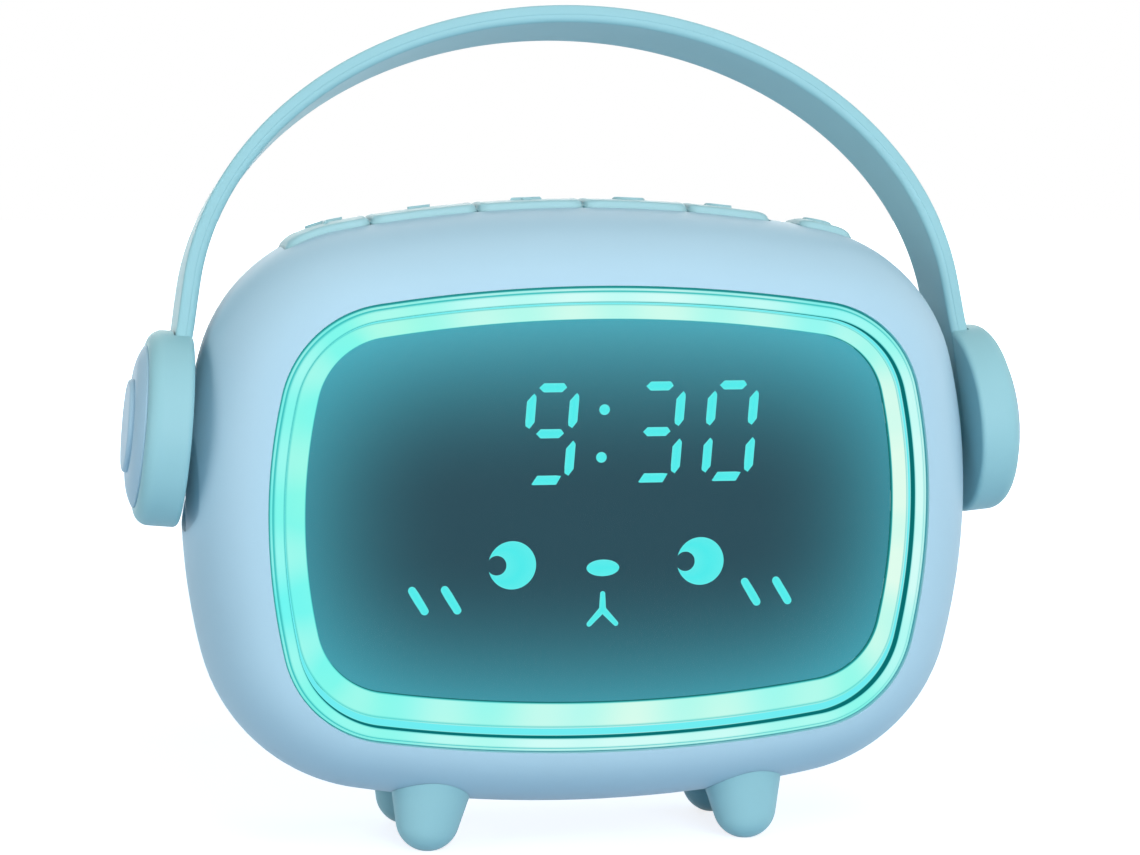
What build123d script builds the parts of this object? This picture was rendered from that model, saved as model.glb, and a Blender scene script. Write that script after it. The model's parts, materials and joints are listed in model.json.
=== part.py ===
from build123d import *

import os
from dataclasses import dataclass, replace
from math import asin, atan2, copysign, cos, degrees, radians, sin, sqrt, tan

# Kids alarm clock: rounded body, lit ring and display, six keys, turning handle. Sizes in millimetres.
# Frame: the origin is on the surface that the clock stands on, below the middle of the body.
# X points right seen from the front, Y to the rear and Z up. The display looks along -Y.

# Body: outline seen from the front, and how its edge rounds off in depth
body_half_width = 70.0
body_middle_height = 60.7      # height of the widest line
body_rise = 51.1               # widest line up to the crown
body_drop = 54.5               # widest line down to the belly
body_top_corner = 29.9         # corner radii
body_bottom_corner = 32.1
body_half_depth = 23.5         # pivot line to the front rim, and to the flat back
edge_round = 13.3              # how far the rounded edge comes in from the outline
wall = 2.2
lip_reach = 17.0               # how far the flat front and back run in from the outline
cover_depth = 5.5              # seam of the rear cover, in from the back
corner_start = 14.2            # directions, from level, between which the corner arcs run
corner_end = 79.6

# Light ring, light guide and display window, from the outside in
ring_side_margin = 12.2        # body outline to ring
ring_middle, ring_rise, ring_drop, ring_corner = 60.4, 38.3, 41.8, 19.4
guide_side_margin = 3.0        # ring to guide
guide_middle, guide_rise, guide_drop, guide_corner = 60.1, 35.4, 37.7, 16.4
lens_side_margin = 3.3         # guide to display window
lens_middle, lens_rise, lens_drop, lens_corner = 59.9, 33.1, 32.9, 13.0
window_corner_start = 12.7
window_corner_end = 81.4
ring_sink = 1.3                # ring lip behind the front rim
ring_lip = 0.9                 # width of the lip
ring_plateau = 1.5             # width of the raised band inside the lip
plateau_rise = 0.75            # plateau above the lip
trough_sink = 1.3              # trough inside the plateau, behind the lip
guide_sink = 1.7               # outer edge of the sloping guide, behind the lip
ring_flange = 1.6              # flange that holds the ring behind the front rim
flange_sink = 3.2              # flange behind the front rim
flange_thickness = 1.5
fit_gap = 0.15                 # between the ring and the front rim
part_gap = 0.05                # between inner pieces that are fitted together
lens_thickness = 1.0
mask_thickness = 1.0
guide_thickness = 1.3
guide_foot = 0.8               # guide's own flange, behind the ring
box_wall = 1.2                 # walls of the light box

# Lit marks on the display: clock digits and a plain face
digit_slant = 4.2              # degrees
digit_half_height = 7.86       # middle segment to top segment
digit_half_width = 3.73
segment_half = 0.82            # half thickness of a segment
segment_length = 4.9
upright_length = 5.8
digit_centres = {"nine": (-9.4, 73.5), "three": (9.35, 73.6), "zero": (22.4, 73.65)}
digit_segments_on = {"nine": "abcdfg", "three": "abcdg", "zero": "abcdef"}
colon_places = [(0.05, 77.5), (-0.44, 69.3)]
colon_radius = 0.93
eye_places = [(-15.9, 51.0), (17.3, 51.0)]
eye_radius = 4.17
eye_notch_radius = 1.73
eye_notch_reach = 2.7          # centre of the eye to the centre of its notch
nose_place = (0.0, 50.2)
nose_radii = (2.85, 1.42)
mouth_points = [(0.0, 45.6), (0.0, 43.1), (-2.45, 40.4), (2.45, 40.4)]
mouth_stroke = 1.15
cheek_places = [(-32.1, 45.25), (-26.45, 45.25), (26.35, 45.4), (32.0, 45.5)]
cheek_length = 5.5
cheek_stroke = 1.3
cheek_angle = 120.0

# Boards, lamps and what they are screwed to
board_thickness = 1.6
led_board_sink = 9.5           # front face of the led board, behind the front rim
led_board_inset = 5.2
led_post_inset = 7.5
led_post_radius = 2.4
post_radius = 2.8
led_size = (3.5, 2.8, 1.4)
ring_led_count = 20
display_led_grid = (6, 3)
main_board_left, main_board_right = 3.0, 50.0
main_board_bottom, main_board_top = 44.0, 86.0
main_board_standoff = 10.5     # front face of the main board, ahead of the back
usb_place = (32.0, 51.0)
usb_size = (8.9, 3.2)
usb_gap = 0.25

# Small screws and case screws
screw_radius = 1.0
screw_head_radius = 1.9
screw_head_height = 1.4
screw_length = 5.0
case_screw_radius = 1.5
case_screw_head_radius = 2.8
case_screw_head_height = 1.8
case_screw_length = 12.0
case_screw_inset = 11.0
case_post_radius = 3.3
case_recess = 3.7              # screw head seat, in from the back
screw_gap = 0.05
rib_thickness = 1.8
case_post_front = 4.0

# Keys on the crown
key_edges = [-52.4, -37.7, -18.9, 0.0, 18.9, 33.9]
lone_key_edges = [39.6, 49.0]
key_names = ["plus", "minus", "bell", "clock", "light", "power"]
key_front, key_back = -4.8, 9.0
key_rise = 1.1                 # key top above the shell
key_corner = 0.9
key_gap = 0.45                 # between keys
slot_gap = 0.3                 # around the keys in their slots
key_flange = 1.2
key_flange_thickness = 1.2
key_seat_gap = 0.15            # flange below the shell
key_travel = 0.8
icon_rise = 0.45
icon_stroke = 0.8
icon_half = 2.8
key_board_top = 99.3
key_board_gap = 1.8            # key board behind the led board
key_board_back = 10.6
key_board_left, key_board_right = -49.5, 48.0
key_tab_half_width, key_tab_back = 37.0, 15.6
key_post_x = 34.0
key_post_inset = 2.4           # key board's edges to its screws
key_post_radius = 2.2
switch_size = 6.0
switch_depth = 3.5             # switches behind the middle of the keys
switch_height = 3.0
button_radius = 1.7
button_height = 1.0
stem_half = 1.8

# Handle: strap, ear cups and pivots
pivot_height = 72.9
handle_lean = 11.0             # degrees that the handle leans back
strap_reach = 0.8              # outside of the strap beyond the cups' inner faces
strap_crown = 55.7             # top of the arch above its springing line
strap_spring = 18.1            # springing line above the pivot
strap_thickness = 3.05
strap_root_width, strap_crown_width = 14.0, 17.6
cup_radius = 16.9
cup_thickness = 7.6
cup_round = 2.6
cup_back_round = 0.9
cup_tilt = 5.2                 # degrees that the cups lean in at the top
cup_gap = 0.3                  # inner face at the pivot line, off the shell's seat
ear_seat_sink = 0.7            # ridge of the seat under each cup, in from the widest line
ear_seat_radius = 17.6
tongue_sink = 0.3              # strap end below the inner face of its cup
tongue_top = 13.5
cap_radius = 14.0
cap_seat = 1.5                 # depth of the recess for the cap
dome_rise = 1.7
button_dome_radius = 8.1
button_dome_rise = 0.9
button_dome_round = 0.7
cap_edge = 0.3
stem_radius = 4.5
bearing_gap = 0.08
bearing_outer_radius = 7.4
bearing_length = 9.3
washer_thickness = 0.8
pivot_head_radius = 6.4
pivot_head_height = 1.6
pivot_shank_radius = 2.0
pivot_shank_length = 9.0

# Feet
foot_x, foot_y = 28.6, 11.0    # middle of each foot on the ground
foot_tip_radius = 5.6
foot_flat = 0.3                # how much of the rounded tip is cut off flat
foot_taper = 26.0              # degrees
foot_splay = 6.0               # degrees outward
foot_length = 17.0
foot_spigot_radius = 2.6
foot_boss_radius = 4.4
foot_boss_top = 15.5
foot_screw_length = 7.0

# Battery and speaker
cell_radius, cell_length = 9.1, 65.0
cell_height = 30.0
cell_standoff = 2.6            # cell off the inside of the rear cover
holder_wall = 1.4
contact_length = 2.0
speaker_place = (-27.0, 66.0)
speaker_standoff = 2.0
speaker_ears = [90.0, 210.0, 330.0]
speaker_ear_reach = 22.8
speaker_radius = 20.0
cone_radius = 17.0
magnet_radius = 9.0
gasket_thickness = 1.0
frame_rim = 2.4
basket_depth = 8.0
magnet_height = 5.0
grille_hole_radius = 1.1
grille_pitch = 4.2
lead_radius = 0.6
ribbon_width = 12.0
ribbon_thickness = 0.4


@dataclass(frozen=True)
class Outline:
    """Closed outline of tangent arcs: side, corner and crown arcs above and below its widest line."""

    half_width: float
    rise: float
    drop: float
    top_corner: float
    bottom_corner: float
    middle: float
    start: float
    end: float

    def inset(self, distance):
        """The parallel outline that lies this far inside."""
        return replace(
            self,
            half_width=self.half_width - distance,
            rise=self.rise - distance,
            drop=self.drop - distance,
            top_corner=self.top_corner - distance,
            bottom_corner=self.bottom_corner - distance,
        )

    def radii(self, up):
        """Side and crown radius that close the upper (up = 1) or lower (up = -1) half."""
        height = self.rise if up > 0 else self.drop
        corner = self.top_corner if up > 0 else self.bottom_corner
        a, b = radians(self.start), radians(self.end)
        across = self.half_width - corner * (cos(a) - cos(b))
        along = height - corner * (sin(b) - sin(a))
        det = (1 - cos(a)) * (1 - sin(b)) - cos(b) * sin(a)
        side = (across * (1 - sin(b)) - along * cos(b)) / det
        crown = ((1 - cos(a)) * along - sin(a) * across) / det
        return side, corner, crown

    def corner_centre(self, up):
        """Centre of the right-hand corner arc, as (x, z)."""
        side, corner, _ = self.radii(up)
        a = radians(self.start)
        x = self.half_width - side + (side - corner) * cos(a)
        return x, self.middle + up * (side - corner) * sin(a)

    def crown_centre(self, up):
        """Height of the centre of the crown arc."""
        _, corner, crown = self.radii(up)
        return self.corner_centre(up)[1] + up * (corner - crown) * sin(radians(self.end))

    def height_at(self, x, up=1):
        """Height of the outline above or below a place across the body."""
        _, corner, crown = self.radii(up)
        cx, cz = self.corner_centre(up)
        if abs(x) < crown * cos(radians(self.end)):
            return self.crown_centre(up) + up * sqrt(crown**2 - x**2)
        return cz + up * sqrt(corner**2 - (abs(x) - cx) ** 2)


ring_half_width = body_half_width - ring_side_margin
guide_half_width = ring_half_width - guide_side_margin
lens_half_width = guide_half_width - lens_side_margin
body = Outline(body_half_width, body_rise, body_drop, body_top_corner, body_bottom_corner,
               body_middle_height, corner_start, corner_end)
ring = Outline(ring_half_width, ring_rise, ring_drop, ring_corner, ring_corner,
               ring_middle, window_corner_start, window_corner_end)
guide = Outline(guide_half_width, guide_rise, guide_drop, guide_corner, guide_corner,
                guide_middle, window_corner_start, window_corner_end)
lens = Outline(lens_half_width, lens_rise, lens_drop, lens_corner, lens_corner,
               lens_middle, window_corner_start, window_corner_end)

front_rim = -body_half_depth
ring_face = front_rim + ring_sink
rim_back = front_rim + wall
back_face = body_half_depth
cover_inside = back_face - wall
seam_depth = back_face - cover_depth
tilt = radians(cup_tilt)
lean = radians(handle_lean)
led_board_front = front_rim + led_board_sink
led_board_back = led_board_front + board_thickness
key_board_front = led_board_back + key_board_gap
main_board_depth = back_face - main_board_standoff
cell_depth = cover_inside - cell_standoff - cell_radius
ear_seat_face = body_half_width - ear_seat_sink
bearing_inner_face = ear_seat_face - bearing_length
cup_face = ear_seat_face + cup_gap
strap_half_width = cup_face + strap_reach


def across(depth):
    """Sketch plane seen from the front, at a depth; a positive extrusion from it goes forward."""
    return Plane.XZ.offset(-depth)


def outline_edges(shape):
    """The arcs of an outline, in order round it, as seen from the front."""
    edges = []
    for up in (1, -1):
        side, corner, crown = shape.radii(up)
        cx, cz = shape.corner_centre(up)
        side_x = shape.half_width - side
        a, b = shape.start, shape.end
        turn = 0 if up > 0 else 180
        spans = [
            (side_x, shape.middle, side, 0, a),
            (cx, cz, corner, a, b - a),
            (0, shape.crown_centre(up), crown, b, 180 - 2 * b),
            (-cx, cz, corner, 180 - b, b - a),
            (-side_x, shape.middle, side, 180 - a, a),
        ]
        for x, z, radius, start, size in spans:
            edges.append(CenterArc((up * x, z), radius, start + turn, size, mode=Mode.PRIVATE))
    return edges


def outline_face(shape):
    """The face inside an outline."""
    with BuildSketch() as face:
        make_face(outline_edges(shape))
    return face.sketch


def outline_path(shape):
    """The outline as a closed path in the middle plane of the body."""
    return across(0) * Wire(outline_edges(shape))


def edge_arc(inner, start_depth, end_depth):
    """Section of the rounded edge between two depths, on the outside or on a surface further in."""
    long = body_half_depth - inner
    start = degrees(asin(start_depth / long))
    end = degrees(asin(end_depth / long))
    centre = (body_half_width - edge_round, 0)
    return EllipticalCenterArc(centre, edge_round - inner, long, start_angle=start, arc_size=end - start)


def body_solid(inset):
    """All that the body's surface encloses once it has moved in by inset, front to back."""
    half_depth = body_half_depth - inset
    with BuildPart() as solid:
        with BuildSketch(Plane.XY.offset(body_middle_height)):
            with BuildLine():
                edge_arc(inset, -half_depth, half_depth)
                Polyline(
                    (body_half_width - edge_round, half_depth),
                    (body_half_width - lip_reach, half_depth),
                    (body_half_width - lip_reach, -half_depth),
                    (body_half_width - edge_round, -half_depth),
                )
            make_face()
        sweep(path=outline_path(body))
        with BuildSketch(across(half_depth)):
            add(outline_face(body.inset(lip_reach - 0.5)))
        extrude(amount=2 * half_depth)
    return solid.part


def edge_section(front, back, plate):
    """Wall section of a shell between two depths, with the flat that it ends in at plate."""
    inner_plate = plate - wall if plate > 0 else plate + wall
    with BuildSketch() as section:
        with BuildLine():
            outer = edge_arc(0, front, back)
            inner = edge_arc(wall, front if plate > 0 else inner_plate, inner_plate if plate > 0 else back)
            seam, tip = (0, 1) if plate > 0 else (1, 0)
            Line(outer @ seam, inner @ seam)
            Polyline(
                outer @ tip,
                (body_half_width - lip_reach, plate),
                (body_half_width - lip_reach, inner_plate),
                inner @ tip,
            )
        make_face()
    return section.sketch


def screw_shape(radius, length, head_radius, head_height):
    """Screw along +Z whose head rests on the ground plane from below, with a cross recess."""
    with BuildPart() as screw:
        Cylinder(radius, length, align=(Align.CENTER, Align.CENTER, Align.MIN))
        Cylinder(head_radius, head_height, align=(Align.CENTER, Align.CENTER, Align.MAX))
        with Locations((0, 0, -head_height)):
            Box(1.4 * head_radius, 0.25 * head_radius, head_height, mode=Mode.SUBTRACT)
            Box(0.25 * head_radius, 1.4 * head_radius, head_height, mode=Mode.SUBTRACT)
    return screw.part


def at(x, y, z, direction):
    """Place whose Z axis points in a direction."""
    side = (0, 1, 0) if direction[0] else (1, 0, 0)
    return Plane(origin=(x, y, z), x_dir=side, z_dir=direction).location


def corner_places(shape, angle=45.0):
    """The four places (x, z) on the corner arcs of an outline, in a direction above or below level."""
    places = []
    for up in (1, -1):
        corner = shape.radii(up)[1]
        cx, cz = shape.corner_centre(up)
        x = cx + corner * cos(radians(angle))
        z = cz + up * corner * sin(radians(angle))
        places += [(x, z), (-x, z)]
    return places


def turned(points, axis, plane):
    """Solid of revolution from the corners of its half section."""
    with BuildPart() as solid:
        with BuildSketch(plane):
            with BuildLine():
                Polyline(*points, close=True)
            make_face()
        revolve(axis=axis)
    return solid.part


def bend_radii(points):
    """Bend radius at each inner corner, so that a bend takes up most of the shorter run beside it."""
    radii = []
    for before, corner, after in zip(points, points[1:], points[2:]):
        first = Vector(*corner) - Vector(*before)
        second = Vector(*after) - Vector(*corner)
        half_turn = radians(first.get_angle(second)) / 2
        radii.append(0.45 * min(first.length, second.length) / tan(half_turn))
    return radii


def route(points):
    """Straight runs joined by tangent bends."""
    with BuildLine() as path:
        FilletPolyline(*points, radius=bend_radii(points))
    return path.wires()[0]


key_post_places = [(x, y) for y in (key_board_front + key_post_inset, key_tab_back - key_post_inset)
                   for x in (-key_post_x, key_post_x)]
FRONT, BACK, UP, DOWN = (0, -1, 0), (0, 1, 0), (0, 0, 1), (0, 0, -1)
case_screw_places = corner_places(body.inset(case_screw_inset))
led_post_places = corner_places(body.inset(led_post_inset))
main_board_places = [(x, z) for x in (main_board_left + 4, main_board_right - 4)
                     for z in (main_board_bottom + 4, main_board_top - 4)]
holder_tab = cell_length / 2 + contact_length + holder_wall + 3.5
holder_places = [(-holder_tab, cell_height), (holder_tab, cell_height)]
cover_post_front = main_board_depth + board_thickness
case_post_back = seam_depth - 2.6
spigot_x = foot_x - (foot_boss_top - foot_tip_radius) * tan(radians(foot_splay))
foot_places = {
    "front_left": (-1, -1),
    "front_right": (1, -1),
    "rear_left": (-1, 1),
    "rear_right": (1, 1),
}
speaker_x, speaker_z = speaker_place
speaker_seat = cover_inside - speaker_standoff
speaker_back = speaker_seat - gasket_thickness
speaker_front = speaker_back - frame_rim
speaker_axis = Axis((speaker_x, 0, speaker_z), (0, 1, 0))
speaker_ear_places = [
    (speaker_x + speaker_ear_reach * cos(radians(a)), speaker_z + speaker_ear_reach * sin(radians(a)))
    for a in speaker_ears
]
spigot_top = foot_boss_top - 2.0
key_screw_start = key_board_top - board_thickness
small_bore = screw_radius + screw_gap
small_screw = screw_shape(screw_radius, screw_length, screw_head_radius, screw_head_height)
case_screw = screw_shape(case_screw_radius, case_screw_length, case_screw_head_radius,
                         case_screw_head_height)
foot_screw = screw_shape(screw_radius, foot_screw_length, screw_head_radius, screw_head_height)

os.makedirs("parts", exist_ok=True)


def save(part, label):
    """Name a piece and write its file."""
    part.label = label
    export_step(part, f"parts/{label}.step")


core = body_solid(wall / 2)

# What the front shell carries inside: bearings, posts and bosses, run into the middle of its wall
with BuildPart() as shell_fittings:
    for side in (-1, 1):
        with Locations(at(side * bearing_inner_face, 0, pivot_height, (side, 0, 0))):
            Cylinder(bearing_outer_radius, 12, align=(Align.CENTER, Align.CENTER, Align.MIN))
    for x, z in led_post_places:
        with Locations(at(x, led_board_front, z, FRONT)):
            Cylinder(led_post_radius, 10, align=(Align.CENTER, Align.CENTER, Align.MIN))
    for x, z in case_screw_places:
        with Locations(at(x, case_post_back, z, FRONT)):
            Cylinder(case_post_radius, case_post_back - case_post_front,
                     align=(Align.CENTER, Align.CENTER, Align.MIN))
        with BuildSketch(across(case_post_back)):
            outward = degrees(atan2(copysign(1, z - body_middle_height), copysign(1, x)))
            with Locations(Location((x, z), (0, 0, outward))):
                Rectangle(14, rib_thickness, align=(Align.MIN, Align.CENTER))
        extrude(amount=case_post_back - case_post_front)
    for x, y in key_post_places:
        with Locations((x, y, key_board_top)):
            Cylinder(key_post_radius, 15, align=(Align.CENTER, Align.CENTER, Align.MIN))
    for side, end in foot_places.values():
        with Locations((side * spigot_x, end * foot_y, foot_boss_top)):
            Cylinder(foot_boss_radius, 15, align=(Align.CENTER, Align.CENTER, Align.MAX))
    add(core, mode=Mode.INTERSECT)

# What each ear cup needs cleared from the shell: a round seat that falls away from an upright ridge as
# steeply as the cups lean, so that the turning cups keep their gap
with BuildPart() as ear_seat:
    fall = ear_seat_radius * tan(tilt)
    with BuildSketch(Plane.XY.offset(pivot_height)):
        Polygon(
            (ear_seat_face, 0),
            (ear_seat_face - fall, ear_seat_radius),
            (ear_seat_face + 5, ear_seat_radius),
            (ear_seat_face + 5, -ear_seat_radius),
            (ear_seat_face - fall, -ear_seat_radius),
            align=None,
        )
    extrude(amount=ear_seat_radius, both=True)
    with Locations(at(0, 0, pivot_height, (1, 0, 0))):
        Cylinder(ear_seat_radius, 2 * (ear_seat_face + 5), mode=Mode.INTERSECT)

with BuildPart() as front_shell:
    with BuildSketch(Plane.XY.offset(body_middle_height)):
        add(edge_section(-body_half_depth, seam_depth, -body_half_depth))
    sweep(path=outline_path(body))
    with BuildSketch(across(rim_back + 1)):
        add(outline_face(ring.inset(-fit_gap)))
    extrude(amount=wall + 2, mode=Mode.SUBTRACT)
    add(shell_fittings.part)
    add(ear_seat.part, mode=Mode.SUBTRACT)
    add(ear_seat.part.mirror(Plane.YZ), mode=Mode.SUBTRACT)
    for side in (-1, 1):
        with Locations(at(side * (bearing_inner_face - 5), 0, pivot_height, (side, 0, 0))):
            Cylinder(stem_radius + bearing_gap, 30, align=(Align.CENTER, Align.CENTER, Align.MIN),
                     mode=Mode.SUBTRACT)
    for x, z in led_post_places:
        with Locations(at(x, led_board_front, z, FRONT)):
            Cylinder(small_bore, screw_length - board_thickness + 0.5,
                     align=(Align.CENTER, Align.CENTER, Align.MIN), mode=Mode.SUBTRACT)
    for x, z in case_screw_places:
        with Locations(at(x, case_post_back, z, FRONT)):
            Cylinder(case_screw_radius + screw_gap, case_post_back - case_post_front - 1,
                     align=(Align.CENTER, Align.CENTER, Align.MIN), mode=Mode.SUBTRACT)
    for x, y in key_post_places:
        with Locations((x, y, key_board_top)):
            Cylinder(small_bore, screw_length - board_thickness + 0.5,
                     align=(Align.CENTER, Align.CENTER, Align.MIN), mode=Mode.SUBTRACT)
    for side, end in foot_places.values():
        with Locations((side * spigot_x, end * foot_y, spigot_top)):
            Cylinder(foot_spigot_radius + part_gap, 15, align=(Align.CENTER, Align.CENTER, Align.MAX),
                     mode=Mode.SUBTRACT)
            Cylinder(small_bore, 5, mode=Mode.SUBTRACT)
    with BuildSketch(Plane.XY.offset(key_board_top + 1)):
        for left, right in ((key_edges[0], key_edges[-1]), lone_key_edges):
            with Locations(((left + right) / 2, (key_front + key_back) / 2)):
                RectangleRounded(right - left + 2 * slot_gap, key_back - key_front + 2 * slot_gap,
                                 key_corner + slot_gap)
    extrude(amount=20, mode=Mode.SUBTRACT)
save(front_shell.part, "front_shell")

# Rear cover: back plate, rounded edge, lip inside the seam, tubes and posts
with BuildPart() as cover_fittings:
    with BuildSketch(across(cover_inside + 1)):
        for x, z in main_board_places + holder_places:
            with Locations((x, z)):
                Circle(post_radius)
    extrude(amount=cover_inside + 1 - cover_post_front)
    with BuildSketch(across(cover_inside + 1)):
        for x, z in case_screw_places:
            with Locations((x, z)):
                Circle(case_post_radius)
    extrude(amount=cover_inside + 1 - case_post_back - part_gap)
    with BuildSketch(across(cover_inside + 1)):
        for x, z in speaker_ear_places:
            with Locations((x, z)):
                Circle(post_radius)
    extrude(amount=cover_inside + 1 - speaker_back)
    with BuildSketch(across(cover_inside + 1)):
        with Locations(speaker_place):
            Circle(speaker_radius)
            Circle(speaker_radius - frame_rim, mode=Mode.SUBTRACT)
    extrude(amount=speaker_standoff + 1)
    with BuildSketch(across(cover_inside)):
        add(outline_face(body.inset(7.5)))
        add(outline_face(body.inset(8.7)), mode=Mode.SUBTRACT)
    extrude(amount=cover_inside - case_post_back - 0.1)
    add(core, mode=Mode.INTERSECT)

with BuildPart() as rear_cover:
    with BuildSketch(Plane.XY.offset(body_middle_height)):
        add(edge_section(seam_depth + part_gap, body_half_depth, body_half_depth))
    sweep(path=outline_path(body))
    with BuildSketch(across(back_face)):
        add(outline_face(body.inset(lip_reach - 0.5)))
    extrude(amount=wall)
    add(cover_fittings.part)
    for x, z in main_board_places + holder_places:
        with Locations(at(x, cover_post_front, z, BACK)):
            Cylinder(small_bore, screw_length - board_thickness + 0.5,
                     align=(Align.CENTER, Align.CENTER, Align.MIN), mode=Mode.SUBTRACT)
    for x, z in speaker_ear_places:
        with Locations(at(x, speaker_back, z, BACK)):
            Cylinder(small_bore, screw_length - frame_rim + 0.5,
                     align=(Align.CENTER, Align.CENTER, Align.MIN), mode=Mode.SUBTRACT)
    for x, z in case_screw_places:
        with Locations(at(x, back_face - case_recess, z, BACK)):
            Cylinder(case_screw_head_radius + 0.3, 10, align=(Align.CENTER, Align.CENTER, Align.MIN),
                     mode=Mode.SUBTRACT)
            Cylinder(case_screw_radius + screw_gap, 20, mode=Mode.SUBTRACT)
    with BuildSketch(across(back_face + 1)):
        for row in range(4):
            with Locations(speaker_place):
                with PolarLocations(row * grille_pitch, max(1, 6 * row)):
                    Circle(grille_hole_radius)
        with Locations(usb_place):
            RectangleRounded(usb_size[0] + 2 * usb_gap, usb_size[1] + 2 * usb_gap, usb_size[1] / 2)
    extrude(amount=wall + 2, mode=Mode.SUBTRACT)
save(rear_cover.part, "rear_cover")

# Light ring: lip, raised band, trough, wall of the light box and the flange behind the front rim
with BuildPart() as light_ring:
    right = ring_half_width
    with BuildSketch(Plane.XY.offset(ring_middle)):
        with BuildLine():
            Polyline(
                (right, ring_face),
                (right - ring_lip, ring_face),
                (right - ring_lip, ring_face - plateau_rise),
                (right - ring_lip - ring_plateau, ring_face - plateau_rise),
                (right - ring_lip - ring_plateau, ring_face + trough_sink + flange_thickness),
                (right - box_wall, ring_face + trough_sink + flange_thickness),
                (right - box_wall, led_board_front),
                (right, led_board_front),
                (right, front_rim + flange_sink + flange_thickness),
                (right + ring_flange, front_rim + flange_sink + flange_thickness),
                (right + ring_flange, front_rim + flange_sink),
                (right, front_rim + flange_sink),
                close=True,
            )
        make_face()
    sweep(path=across(0) * Wire(outline_edges(ring)))
    with BuildSketch(across(ring_face + trough_sink + flange_thickness)):
        add(outline_face(ring.inset(ring_lip + ring_plateau - 0.1)))
        add(outline_face(guide.inset(-part_gap)), mode=Mode.SUBTRACT)
    extrude(amount=flange_thickness)
save(light_ring.part, "light_ring")

guide_edge = ring_face + guide_sink
guide_foot_front = ring_face + trough_sink + flange_thickness + part_gap
guide_foot_back = guide_foot_front + 1.0

# Light guide: sloping ring from the trough up to the display window, and its own foot
with BuildPart() as light_guide:
    with BuildSketch(across(guide_foot_back)):
        add(outline_face(guide))
    extrude(amount=guide_foot_back - guide_edge)
    with BuildSketch(across(guide_edge)):
        add(outline_face(guide))
    with BuildSketch(across(ring_face)):
        add(outline_face(lens.inset(-0.1)))
    loft()
    with BuildSketch(across(guide_foot_back)):
        add(outline_face(guide.inset(-guide_foot)))
    extrude(amount=guide_foot_back - guide_foot_front)
    with BuildSketch(across(guide_foot_back)):
        add(outline_face(guide.inset(guide_thickness)))
    with BuildSketch(across(ring_face + guide_thickness)):
        add(outline_face(lens.inset(-0.1)))
    loft(mode=Mode.SUBTRACT)
    with BuildSketch(across(guide_foot_back)):
        add(outline_face(lens.inset(-part_gap)))
    extrude(amount=8, mode=Mode.SUBTRACT)
save(light_guide.part, "light_guide")

lens_back = ring_face + lens_thickness
mask_front = lens_back + part_gap
mask_back = mask_front + mask_thickness

with BuildPart() as display_lens:
    with BuildSketch(across(lens_back)):
        add(outline_face(lens))
    extrude(amount=lens_thickness)
    chamfer(display_lens.faces().sort_by(Axis.Y)[0].edges(), 0.15)
save(display_lens.part, "display_lens")


def bar(length, half, grow):
    """Segment with pointed ends, long way along X."""
    with BuildSketch() as face:
        reach, thick = length / 2 + grow, half + grow
        Polygon((reach, 0), (reach - thick, thick), (thick - reach, thick), (-reach, 0),
                (thick - reach, -thick), (reach - thick, -thick))
    return face.sketch


def digit_marks(grow):
    """Lit segments of the clock digits, leaning to the right."""
    lean = tan(radians(digit_slant))
    places = {
        "a": (0, digit_half_height, 0), "g": (0, 0, 0), "d": (0, -digit_half_height, 0),
        "b": (digit_half_width, digit_half_height / 2, 90),
        "c": (digit_half_width, -digit_half_height / 2, 90),
        "e": (-digit_half_width, -digit_half_height / 2, 90),
        "f": (-digit_half_width, digit_half_height / 2, 90),
    }
    with BuildSketch() as marks:
        for name, (x, z) in digit_centres.items():
            for letter in digit_segments_on[name]:
                dx, dz, turn = places[letter]
                size = upright_length if turn else segment_length
                heading = turn - (digit_slant if turn else 0)
                with Locations(Location((x + dx + dz * lean, z + dz), (0, 0, heading))):
                    add(bar(size, segment_half, grow))
    return marks.sketch


def colon_marks(grow):
    """Two dots between the hours and the minutes."""
    with BuildSketch() as marks:
        with Locations(*colon_places):
            Circle(colon_radius + grow)
    return marks.sketch


def eye_marks(grow):
    """Two round eyes, each with a round notch on its left."""
    with BuildSketch() as marks:
        with Locations(*eye_places):
            Circle(eye_radius + grow)
        with Locations(*[(x - eye_notch_reach, z) for x, z in eye_places]):
            Circle(eye_notch_radius - grow, mode=Mode.SUBTRACT)
    return marks.sketch


def nose_mark(grow):
    """Oval nose."""
    with BuildSketch() as marks:
        with Locations(nose_place):
            Ellipse(nose_radii[0] + grow, nose_radii[1] + grow)
    return marks.sketch


def mouth_mark(grow):
    """Mouth of three strokes that meet in one point."""
    top, middle, left, right = mouth_points
    with BuildSketch() as marks:
        for end in (top, left, right):
            with BuildLine():
                Line(middle, end)
            trace(line_width=mouth_stroke + 2 * grow)
        with Locations(*mouth_points):
            Circle(mouth_stroke / 2 + grow)
    return marks.sketch


def cheek_marks(grow):
    """Two slanting strokes with round ends on each cheek."""
    with BuildSketch() as marks:
        for place in cheek_places:
            with Locations(Location(place, (0, 0, cheek_angle))):
                SlotOverall(cheek_length + 2 * grow, cheek_stroke + 2 * grow)
    return marks.sketch


display_marks = {
    "digit_segments": digit_marks,
    "colon_dots": colon_marks,
    "eye_icons": eye_marks,
    "nose_icon": nose_mark,
    "mouth_icon": mouth_mark,
    "cheek_icons": cheek_marks,
}

# Mask: dark plate with a window for each lit mark, and the walls of the light box behind it
with BuildPart() as display_mask:
    with BuildSketch(across(led_board_front)):
        add(outline_face(lens))
        add(outline_face(lens.inset(box_wall)), mode=Mode.SUBTRACT)
    extrude(amount=led_board_front - mask_front)
    with BuildSketch(across(mask_back)):
        add(outline_face(lens))
        for marks in display_marks.values():
            add(marks(part_gap), mode=Mode.SUBTRACT)
    extrude(amount=mask_thickness)
save(display_mask.part, "display_mask")

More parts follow.
